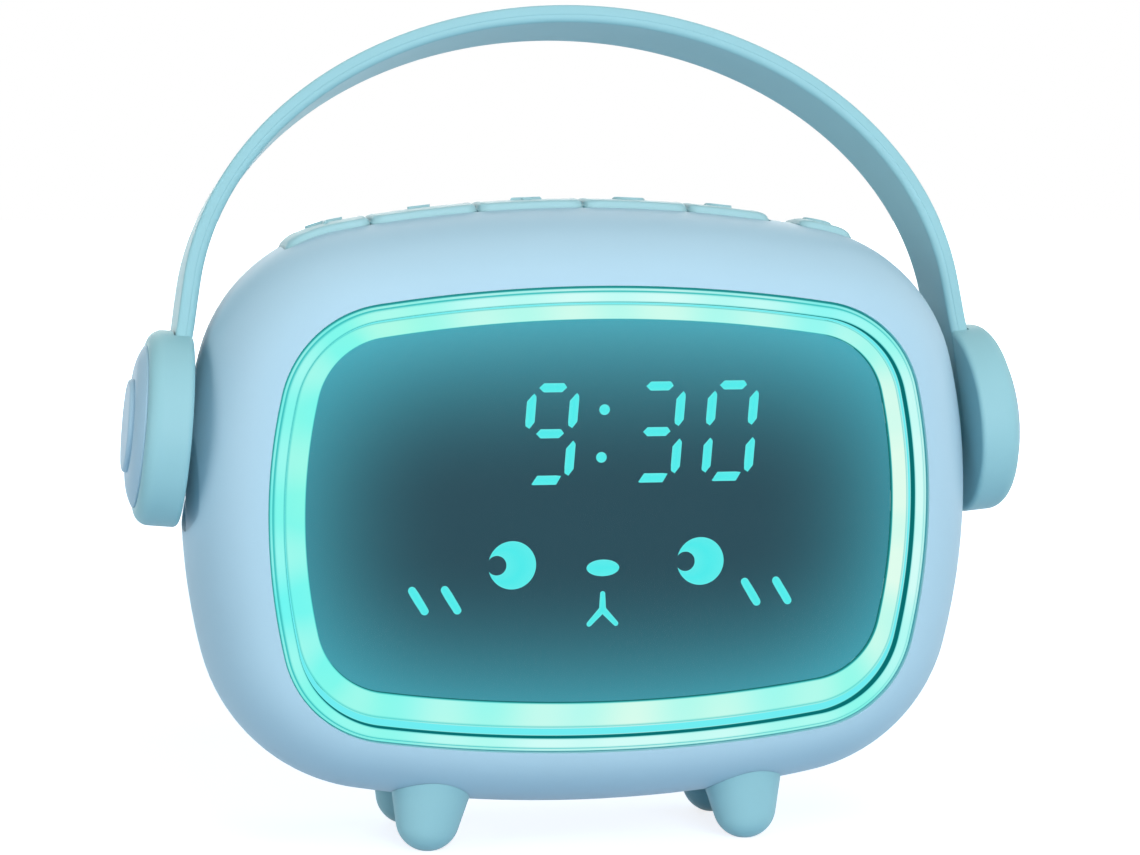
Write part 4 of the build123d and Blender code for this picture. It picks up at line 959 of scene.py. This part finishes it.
WINDOW_CORNERS = (12.7, 81.4)
BODY = Outline(70.0, 51.1, 54.5, 29.9, 32.1, 60.7, 14.2, 79.6)
RING = Outline(57.8, 38.3, 41.8, 19.4, 19.4, 60.4, *WINDOW_CORNERS)
GUIDE = Outline(54.8, 35.4, 37.7, 16.4, 16.4, 60.1, *WINDOW_CORNERS)
LENS = Outline(51.5, 33.1, 32.9, 13.0, 13.0, 59.9, *WINDOW_CORNERS)


@dataclass
class NightLight:
    """Light ring in the front rim, and the sloping guide inside it."""

    ring: Outline = RING
    guide: Outline = GUIDE
    lens: Outline = LENS
    face: float = -22.2  # front of the lip
    plateau: float = -22.95  # front of the raised band
    trough: float = -20.9
    ledge: float = -19.4  # back of the trough
    box_back: float = -14.0
    box_wall: float = 1.2
    flange: float = 1.6
    flange_front: float = -20.3
    flange_back: float = -18.8
    guide_edge: float = -20.5
    guide_back: float = -18.35
    guide_thickness: float = 1.1  # depth of the guide's edge at the window
    guide_foot: float = 1.3  # width of the guide's foot
    swell: float = 0.18  # how far the guide's slope bulges in its middle
    edge_shade: float = 0.45  # painted shade of the slope's two edges
    edge_shares: Pair = (0.09, 0.05)  # shares of the slope over which the outer and the inner edge darken
    slack: float = 0.38
    points_round: int = 420
    slope_steps: int = 20

    def build(self) -> None:
        """Make both pieces."""
        heading = self.ring.headings(self.points_round)
        fitted(self.ring_piece(heading), "housing", "ring", "light_ring")
        fitted(self.guide_piece(heading), "housing", "guide", "light_guide")

    def ring_piece(self, heading: np.ndarray) -> bpy.types.Object:
        """Ring: one closed profile of lip, groove, raised band, riser, trough, light box wall and flange.

        Args:
            heading: Headings at which the profile stands.

        Returns:
            The piece.
        """
        ring, guide, lip, top = self.ring, self.guide, self.face, self.plateau
        # painted shade darkens the outer wall, the groove, the riser and the flange seen in the gap at the
        # shell's opening
        front = [  # inset, depth and shade
            (0.00, self.flange_front + 0.1, 0.85), (0.00, lip + 0.25, 0.7), (0.03, lip + 0.05, 0.4),
            (0.14, lip, 0.1), (0.36, lip, 0.1), (0.44, lip + 0.05, 0.35), (0.50, lip + 0.3, 0.55),
            (0.62, lip + 0.3, 0.55), (0.68, top + 0.12, 0.3), (0.80, top, 0.08), (1.00, top - 0.03, 0.0),
            (2.10, top, 0.0), (2.30, top + 0.02, 0.3), (2.38, top + 0.08, 1.0), (2.44, self.trough - 0.3, 1.0),
            (2.50, self.trough - 0.08, 0.8), (2.60, self.trough, -1.0),
        ]
        stations = [Station(ring, *place, self.slack) for place in front]
        stations += [Station(guide, -0.12, self.trough, -1.0), Station(guide, -0.05, self.trough, 0.2)]
        stations += [Station(outline, *place) for outline, *place in (
            (guide, -0.05, self.ledge), (ring, self.box_wall, self.ledge), (ring, self.box_wall, self.box_back),
            (ring, 0.0, self.box_back, 1.0), (ring, 0.0, self.flange_back, 1.0),
            (ring, -self.flange, self.flange_back, 1.0), (ring, -self.flange, self.flange_front, 1.0))]
        return grid_piece("light_ring_clear", Grid(carried(stations, heading), joined=True))

    def guide_piece(self, heading: np.ndarray) -> bpy.types.Object:
        """Guide: slope s from the guide outline to the window, (1-s) A + s B, with a slight swell 4 s (1-s).

        Args:
            heading: Headings at which the profile stands.

        Returns:
            The piece.
        """
        outer = Station(self.guide, 0.0, self.guide_edge).curve(heading)
        inner = Station(self.lens, -0.1, self.face).curve(heading)
        share = np.linspace(0.0, 1.0, self.slope_steps + 1)[:, None]
        slope = outer[None] * (1 - share[..., None]) + inner[None] * share[..., None]
        slope[..., 1] -= self.swell * 4 * share * (1 - share)
        # painted shade: dark lines along both edges of the slope and down the well at the window
        outside, inside = self.edge_shares
        dark = np.clip(1 - (1 - share) / inside, 0, 1) + np.clip(1 - share / outside, 0, 1)
        slope[..., 3] = self.edge_shade * dark
        rest = carried([Station(self.lens, -0.05, self.face + 0.05, 0.8),
                        Station(self.lens, -0.05, self.face + self.guide_thickness, 1.0),
                        Station(self.guide, self.guide_foot, self.guide_back),
                        Station(self.guide, 0.0, self.guide_back)], heading)
        return grid_piece("light_guide_clear", Grid(np.concatenate([rest[-1:], slope, rest[:-1]]), joined=True))


@dataclass
class Display:
    """Smoked window, the lit marks behind it and a backing that closes the plate round them."""

    lens: Outline = LENS
    face: float = -22.2
    thickness: float = 1.0
    bevel: float = 0.15
    points_round: int = 240
    rings_in: int = 6  # rows from the edge of a plate to its middle
    mark_face: float = -21.18
    mark_back: float = -20.2
    mark_edge: float = 0.09
    backing_face: float = -21.1
    backing_margin: float = 0.6
    slant: float = 4.2  # degrees
    digits: tuple[tuple[float, float, str], ...] = (
        (-9.4, 73.5, "abcdfg"), (9.35, 73.6, "abcdg"), (22.4, 73.65, "abcdef"))
    bar_samples: int = 41
    colon: tuple[Pair, ...] = ((0.05, 77.5), (-0.44, 69.3))
    colon_radius: float = 0.93
    eyes: tuple[Pair, ...] = ((-15.9, 51.0), (17.3, 51.0))
    eye_radius: float = 4.17
    notch_radius: float = 1.68
    notch_reach: float = 2.7
    eye_samples: int = 73
    nose: Pair = (0.0, 50.2)
    nose_radii: Pair = (2.88, 1.45)
    mouth: tuple[Pair, ...] = ((0.0, 45.7), (0.0, 43.0), (-2.35, 40.5), (2.35, 40.5))
    mouth_halves: Pair = (0.62, 0.46)  # half width of its strokes where they meet and at their ends
    mouth_step: float = 0.2
    cheeks: tuple[Pair, ...] = ((-32.15, 45.25), (-26.5, 45.25), (26.4, 45.4), (32.0, 45.5))
    cheek_lean: float = 122.0  # degrees
    cheek_reach: float = 2.05
    cheek_halves: Pair = (0.8, 0.06)  # half width in the middle, and how much less it is at the ends
    cheek_samples: int = 15

    def build(self) -> None:
        """Make the window, the backing and the marks."""
        window = self._plate(0.0, self.face, self.face + self.thickness)
        fitted(grid_piece("display_window", window), "housing", "lens", "display_lens")
        backing = self._plate(self.backing_margin, self.backing_face, self.mark_back)
        fitted(grid_piece("display_backing", backing), "housing", "mask")
        marks = {"digit_segments": self.segments(), "colon_dots": self.dots(), "eye_icons": self.round_eyes(),
                 "nose_icon": [self._oval(self.nose, self.nose_radii)], "mouth_icon": self.mouth_strokes(),
                 "cheek_icons": self.cheek_strokes()}
        for node, shapes in marks.items():
            piece = grid_piece("lit_" + node, *(self._inlaid(*shape) for shape in shapes))
            fitted(piece, "housing", "lit_mark", node)

    def _plate(self, inset: float, front: float, back: float) -> Grid:
        """Flat plate with the window's outline and a bevelled front edge.

        Args:
            inset: How far inside the outline it ends.
            front: Depth of its front.
            back: Depth of its back.

        Returns:
            The plate's surface.
        """
        stations = [Station(self.lens, inset, back), Station(self.lens, inset, front + self.bevel),
                    Station(self.lens, inset + self.bevel, front)]
        side = carried(stations, self.lens.headings(self.points_round))[..., :3]
        return Grid(np.concatenate([to_centre(side[0], self.rings_in)[::-1], side,
                                    to_centre(side[-1], self.rings_in)]))

    def _inlaid(self, first: np.ndarray, second: np.ndarray) -> Grid:
        """A flat shape between two edge curves (x, z), as a slab in the display plate."""
        part = slab(first, second, 0.0, self.mark_back - self.mark_face, self.mark_edge)
        return Grid(np.stack([part[..., 0], self.mark_back - part[..., 2], part[..., 1], part[..., 3]], -1))

    @staticmethod
    def _oval(centre: Pair, radii: Pair) -> Edges:
        """Upper and lower edge of an ellipse."""
        return arc(centre, radii, 180, 0), arc(centre, radii, -180, 0)

    def _bar(self, half: float, high: Sequence[Pair], low: Sequence[Pair]) -> Edges:
        """Upper and lower edge of a bar whose edges are given as heights at places along it."""
        along = np.linspace(-half, half, self.bar_samples)
        return tuple(np.stack([along, np.interp(along, *zip(*edge))], -1) for edge in (high, low))

    def segments(self) -> list[Edges]:
        """Bars of the clock's digits: pointed level bars, slanted bottom bars and uprights that lean.

        Returns:
            Edge curves of each lit bar.
        """
        level = self._bar(2.46, [(-2.46, 0), (-1.62, .79), (1.97, .79), (2.46, 0)],
                          [(-2.46, 0), (-1.7, -.79), (1.6, -.79), (2.46, 0)])
        bottom = self._bar(2.6, [(-2.6, -.6), (-1.55, .83), (2.42, .83), (2.6, .66)],
                           [(-2.6, -.6), (-2.4, -.83), (1.7, -.83), (2.6, .66)])
        upright = self._bar(3.05, [(-3.05, 0), (-1.9, .82), (2.5, .84), (3.05, .35)],
                            [(-3.05, 0), (-2.55, -.82), (1.65, -.8), (3.05, .35)])
        upright = tuple(edge[:, ::-1] for edge in upright)
        places = {"a": (level, -0.18, 7.86), "g": (level, -0.1, 0.0), "d": (bottom, -0.1, -8.0),
                  "b": (upright, 3.73, 3.93), "f": (upright, -3.73, 3.9),
                  "c": (upright, 3.73, -4.25), "e": (upright, -3.85, -4.25)}
        lean = math.tan(math.radians(self.slant))
        shapes = []
        for x, z, lit in self.digits:
            for edges, across, up in (places[letter] for letter in lit):
                shear = lean if edges is upright else 0.0
                shapes.append(tuple(np.stack([x + across + up * lean + edge[:, 0] + edge[:, 1] * shear,
                                              z + up + edge[:, 1]], -1) for edge in edges))
        return shapes

    def dots(self) -> list[Edges]:
        """Two dots between the hours and the minutes."""
        return [self._oval(place, (self.colon_radius, self.colon_radius)) for place in self.colon]

    def round_eyes(self) -> list[Edges]:
        """Round eyes with a notch: the shape between the eye's circle and the notch's, open on the left.

        The two circles meet where both lie as far from the eye's middle, which gives the angles of the tips.

        Returns:
            Edge curves of each eye.
        """
        e, n, d = self.eye_radius, self.notch_radius, self.notch_reach
        tip_x = -(e * e - n * n + d * d) / (2 * d)
        tip_z = math.sqrt(max(e * e - tip_x * tip_x, 0.0))
        eye_tip, notch_tip = (math.degrees(math.atan2(tip_z, across)) for across in (tip_x, tip_x + d))
        return [(arc((x, z), e, eye_tip, -eye_tip, self.eye_samples),
                 arc((x - d, z), n, notch_tip, -notch_tip, self.eye_samples)) for x, z in self.eyes]

    def mouth_strokes(self) -> list[Edges]:
        """Three strokes that meet in one point, thinner towards their ends.

        Returns:
            Edge curves of each stroke.
        """
        top, middle, left, right = self.mouth
        paths = [run(middle, end, step=self.mouth_step) for end in (top, left, right)]
        return [stroke(path, np.linspace(*self.mouth_halves, len(path))) for path in paths]

    def cheek_strokes(self) -> list[Edges]:
        """Two slanting dashes on each cheek, a little thicker in the middle: half width h - k t^2.

        Returns:
            Edge curves of each dash.
        """
        lean = math.radians(self.cheek_lean)
        reach = np.array([math.cos(lean), math.sin(lean)]) * self.cheek_reach
        t = np.linspace(-1.0, 1.0, self.cheek_samples)
        half = self.cheek_halves[0] - self.cheek_halves[1] * t * t
        return [stroke(np.array(place) + t[:, None] * reach, half) for place in self.cheeks]


# --- handle and keys ---


@dataclass
class CarryHandle:
    """Leaning strap arch that runs down into the two ear cups."""

    pivot_height: float = 72.9
    lean: float = 11.0  # degrees
    half_width: float = 70.4  # pivot line to the outside of the arch
    crown: float = 55.7
    spring: float = 18.1  # springing line above the pivot
    thickness: float = 3.05
    root_half: float = 7.0  # half width of the strap at its roots
    crown_half: float = 8.8  # half width of the strap at its crown
    cup_tilt: float = 5.2  # degrees
    cup_face: float = 69.6
    tongue_sink: float = 0.3
    tongue_end: float = -6.0
    blend: Pair = (12.5, 25.0)  # heights between which the tongue turns into the arch
    side_steps: int = 40
    arch_steps: int = 150
    end_steps: int = 3
    bead_reach: float = 1.15  # rounding of the inner edges, across the thickness
    bead_drop: float = 0.95  # rounding of the inner edges, across the width
    bead_sink: float = 0.11  # how far the bead lies below the edge band
    outer_edge: float = 0.6  # rounding of the outer edges
    sharp: float = 60.0

    def build(self) -> None:
        """Make the strap."""
        fitted(self.strap(), "handle", "trim", "handle_strap")

    def _contour(self, into: float) -> np.ndarray:
        """Contour of the strap at a depth into its thickness, from its left end over the crown to its right.

        The arch is the ellipse x = a cos t, height = spring + b sin t, and runs straight down below the
        spring. The tongue follows the tilted cup. Between the blend heights x passes from one to the other
        by the smooth step s = u^2 (3 - 2u).

        Args:
            into: Depth into the thickness, from the inner face.

        Returns:
            Array (count, 2) of x and height above the pivot.
        """
        tilt = math.radians(self.cup_tilt)
        wide = self.half_width - self.thickness + into
        tall = self.crown - self.thickness + into
        low, high = self.blend
        height = np.linspace(self.tongue_end, high, self.side_steps)
        tongue = self.cup_face + (self.tongue_sink + into) / math.cos(tilt) - height * math.tan(tilt)
        arch = wide * np.sqrt(1 - (np.maximum(height - self.spring, 0) / tall) ** 2)
        u = np.clip((height - low) / (high - low), 0, 1)
        step = u * u * (3 - 2 * u)
        side = np.stack([tongue * (1 - step) + arch * step, height], -1)
        start = math.asin((high - self.spring) / tall)
        t = np.linspace(start, math.pi - start, self.arch_steps)[1:-1]
        over = np.stack([wide * np.cos(t), self.spring + tall * np.sin(t)], -1)
        return np.concatenate([side, over, side[::-1] * [-1, 1]])

    def strap(self) -> bpy.types.Object:
        """Strap: a beaded section carried along the arch.

        A section point lies at inner + a (outer - inner) in the arch's plane and b across it, where (a, b)
        runs round the section, as wide as the strap is at that height.

        Returns:
            The piece.
        """
        inner, outer = self._contour(0.0), self._contour(self.thickness)
        height = (inner[:, 1] + outer[:, 1]) / 2
        rising = np.clip((height - self.spring) / (self.crown + 1), 0, 1)
        half = self.root_half + (self.crown_half - self.root_half) * rising
        thick, wide = self._section(half)
        lean = math.radians(self.lean)
        place = inner[:, None, :] + (thick / self.thickness)[:, :, None] * (outer - inner)[:, None, :]
        x, up = place[..., 0], place[..., 1]
        y = up * math.sin(lean) + wide * math.cos(lean)
        z = self.pivot_height + up * math.cos(lean) - wide * math.sin(lean)
        rows = np.stack([x, y, z], -1)
        ends = (to_centre(rows[0], self.end_steps)[::-1], rows, to_centre(rows[-1], self.end_steps))
        return grid_piece("strap_moulded", Grid(np.concatenate(ends)), sharp=self.sharp)

    def _section(self, half: np.ndarray) -> Edges:
        """Section at every place along the strap: wide faces, and edge bands with a bead along the inside.

        On each edge band, from the inner face outwards, the bead is a quarter ellipse that ends a little
        below the band, a small step leads up to the band, and the outer edge is a quarter circle.

        Args:
            half: Half width of the strap at each place.

        Returns:
            Thickness and width coordinates, as arrays (places, section points).
        """
        t = np.linspace(0.0, QUARTER, 9)
        bead = np.stack([self.bead_reach * (1 - np.cos(t)),
                         self.bead_drop * (1 - np.sin(t)) + self.bead_sink], -1)
        # past the bead: how far on, and how much of the bead's depth is left
        step = np.array([[0.07, 1.0], [0.13, 0.6], [0.18, 0.15], [0.26, 0.0], [0.45, 0.0]])
        step = step * [1.0, self.bead_sink] + [self.bead_reach, 0.0]
        r = self.outer_edge
        rim = np.stack([self.thickness - r * (1 - np.sin(t)), r * (1 - np.cos(t))], -1)
        band = np.concatenate([[[0.0, bead[0, 1] + 0.5]], bead, step, [[rim[0, 0] - 0.3, 0.0]], rim,
                               [[self.thickness, r + 0.5]]])
        thick, less = np.concatenate([band, band[::-1]]).T
        wide = np.repeat([1.0, -1.0], len(band)) * (half[:, None] - less)
        return np.broadcast_to(thick, wide.shape), wide


class KeyIcon(Enum):
    """What a key is marked with."""

    PLUS = "plus"
    MINUS = "minus"
    BELL = "bell"
    CLOCK = "clock"
    LIGHT = "light"
    POWER = "power"

    def strokes(self, half: float, pen: float) -> list[tuple[Edges, bool]]:
        """Raised shapes of this icon, each as two edge curves and whether it closes on itself.

        Args:
            half: Half the height of the icon.
            pen: Half the width of its lines.

        Returns:
            The shapes, in the icon's own plane.
        """
        if self is KeyIcon.PLUS:
            return [(stroke(run((-half, 0), (half, 0)), pen), False),
                    (stroke(run((0, -half), (0, half)), pen), False)]
        if self is KeyIcon.MINUS:
            return [(stroke(run((-0.55 * half, 0), (0.55 * half, 0)), pen), False)]
        if self is KeyIcon.BELL:
            left = np.array([(-0.85, -0.5), (-0.62, -0.25), (-0.58, 0.2)]) * half
            dome = arc((0, 0.2 * half), 0.58 * half, 180, 0, 17)[1:-1]
            outline = np.concatenate([left, dome, left[::-1] * [-1, 1], left[:1]])
            return [(stroke(run(*map(tuple, outline)), pen, True), True),
                    (stroke(run((-0.15 * half, -0.85 * half), (0.15 * half, -0.85 * half)), pen), False)]
        if self is KeyIcon.CLOCK:
            return [(stroke(arc((0, 0), 0.88 * half, 0, 360, 49), pen, True), True),
                    (stroke(run((0, 0.5 * half), (0, 0), (0.4 * half, 0)), 0.8 * pen), False)]
        if self is KeyIcon.LIGHT:
            bow = 0.08 + 0.32 * half * np.sin(np.linspace(0.0, 1.0, 33) * math.pi)
            return [(stroke(arc((0, 0), 0.75 * half, 70, 320), bow), False)]
        return [(stroke(arc((0, -0.1 * half), 0.8 * half, 125, 415, 41), pen), False),
                (stroke(run((0, 0.2 * half), (0, half)), pen), False)]


@dataclass
class KeyRow:
    """Six soft keys along the crown, each with a low icon on it."""

    edges: tuple[float, ...] = (-52.4, -37.7, -18.9, 0.0, 18.9, 33.9)
    lone: Pair = (39.6, 49.0)
    front: float = -4.8
    back: float = 9.0
    rise: float = 1.1
    gap: float = 0.45
    corner: float = 1.9
    edge: float = 0.85  # rounding of the upper edge
    foot: float = 0.2  # how far the foot of a key stands out below its sides
    foot_heights: Pair = (0.12, 0.2)  # heights over the shell where the foot ends and the sides start
    lip: float = 0.08  # how far the edge stands above the top
    lip_width: float = 0.25
    ramp: float = 2.4  # how many times further the rounding reaches at a free end
    sink: float = 2.6  # how far the skirt goes below the shell
    inward: tuple[float, ...] = (0.85, 0.68, 0.5, 0.32, 0.15, 0.0)  # sizes of the top's rows, from its edge
    spacing: float = 0.8  # distance between points round a key
    icon_rise: float = 0.42
    icon_sink: float = 0.4
    icon_edge: float = 0.3
    icon_half: float = 2.8
    icon_pen: float = 0.45
    shell_round: float = 13.3  # how far the shell's outline has come in at its front and back
    shell_half: float = 23.5  # half the shell's depth
    halvings: int = 40

    def build(self) -> None:
        """Make the six keys and their icons."""
        spans = list(zip(self.edges, self.edges[1:])) + [self.lone]
        free_ends = {KeyIcon.PLUS: (self.ramp, 1.0), KeyIcon.LIGHT: (1.0, self.ramp),
                     KeyIcon.POWER: (self.ramp, self.ramp)}
        for icon, (left, right) in zip(KeyIcon, spans):
            gap = 0.0 if icon is KeyIcon.POWER else self.gap
            middle, body = (left + right) / 2, "key_" + icon.value
            rows = self.cushion(middle, (right - left - gap) / 2, *free_ends.get(icon, (1.0, 1.0)))
            fitted(grid_piece("key_cap_" + icon.value, Grid(rows)), body, "key", body)
            marks = [self._laid(middle, *shape) for shape in icon.strokes(self.icon_half, self.icon_pen)]
            fitted(grid_piece("key_icon_" + icon.value, *marks), body, "key")

    def _laid(self, middle: float, edges: Edges, closed: bool) -> Grid:
        """An icon's shape laid on the top of its key.

        Args:
            middle: Middle of the key across the clock.
            edges: Edge curves of the shape.
            closed: Whether it closes on itself.

        Returns:
            The shape's surface.
        """
        part = slab(*edges, -self.icon_sink, self.icon_rise, self.icon_edge)
        x, y = middle + part[..., 0], (self.front + self.back) / 2 + part[..., 1]
        rows = np.stack([x, y, self.shell_height(x, y) + self.rise + part[..., 2]], -1)
        return Grid(rows[:-1] if closed else rows, closed)

    def shell_height(self, x: np.ndarray, y: np.ndarray) -> np.ndarray:
        """Height of the shell's top over places (x, y).

        The outline is moved in by r (1 - sqrt(1 - (y / d)^2)), with r the shell's rounding and d half its
        depth, and the heading of its normal is halved down on until its point lies at x.

        Args:
            x: Places across the clock.
            y: Places in its depth.

        Returns:
            Heights in millimetres.
        """
        inset = self.shell_round * (1 - np.sqrt(1 - (y / self.shell_half) ** 2))
        low, high = np.zeros_like(x), np.full_like(x, math.pi)
        for _ in range(self.halvings):
            middle = (low + high) / 2
            beyond = BODY.points(middle, inset)[..., 0] > x
            low, high = np.where(beyond, middle, low), np.where(beyond, high, middle)
        return BODY.points((low + high) / 2, inset)[..., 1]

    def cushion(self, middle: float, half: float, left: float, right: float) -> np.ndarray:
        """Rows of a key: skirt, rounded upper edge and top, all following the shell.

        Round the key runs a rounded rectangle. It shrinks by e (1 - cos t) while the height over the shell
        goes from rise - e to rise by e sin t, and then shrinks to the middle.

        Args:
            middle: Middle of the key across the clock.
            half: Half its width.
            left: How many times further the rounding reaches at the left end.
            right: The same at the right end.

        Returns:
            Array (rows, count, 3) in millimetres.
        """
        depth_middle, depth_half = (self.front + self.back) / 2, (self.back - self.front) / 2
        e, r = self.edge, self.corner
        corner = np.linspace(0.0, QUARTER, 9)
        turned = np.concatenate([corner + quarter * QUARTER for quarter in range(4)])
        across, along = np.repeat([[1, -1, -1, 1], [1, 1, -1, -1]], len(corner), axis=1)
        loop = self._filled(np.stack([across * (half - r) + r * np.cos(turned),
                                      along * (depth_half - r) + r * np.sin(turned)], -1))
        t = np.linspace(0.0, QUARTER, 6)
        foot = [-self.foot, -self.foot, -0.6 * self.foot]
        shrink = np.concatenate([foot, e * (1 - np.cos(t)), [e + self.lip_width]])[:, None]
        lift = np.concatenate([[-self.sink, *self.foot_heights], self.rise - e + e * np.sin(t) + self.lip,
                               [self.rise]])[:, None]
        ends = np.where(shrink > 0, np.where(loop[:, 0] < 0, left, right), 1.0)
        base = np.stack(np.broadcast_arrays(loop[:, 0] * (1 - shrink * ends / half),
                                            loop[:, 1] * (1 - shrink / depth_half), lift), -1)
        flat = np.concatenate([base, [base[-1] * [s, s, 1.0] for s in self.inward]])
        x, y = middle + flat[..., 0], depth_middle + flat[..., 1]
        return np.stack([x, y, self.shell_height(x, y) + flat[..., 2]], -1)

    def _filled(self, loop: np.ndarray) -> np.ndarray:
        """The same closed loop with more points on its long sides.

        Args:
            loop: Points (n, 2).

        Returns:
            The loop's own points and evenly spaced ones between them.
        """
        closed = np.concatenate([loop, loop[:1]])
        length = distances(closed)
        even = np.linspace(0, length[-1], int(length[-1] / self.spacing), endpoint=False)
        places = np.unique(np.concatenate([length[:-1], even]))
        return np.stack([np.interp(places, length, closed[:, k]) for k in (0, 1)], -1)


def dress_nodes() -> None:
    """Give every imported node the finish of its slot."""
    for row in frame["record"]["subparts"]:
        materials = frame["nodes"][row["node"]].data.materials
        materials.clear()
        materials.append(slot_material(row["material_slot"]))


def main() -> None:
    """Build the studio and the clock."""
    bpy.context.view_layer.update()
    Studio().build()
    dress_nodes()
    for assembly in (NightLight(), Display(), CarryHandle(), KeyRow()):
        assembly.build()


if __name__ == "__main__":
    logging.basicConfig(level=logging.INFO, format="%(name)s: %(message)s")
    main()
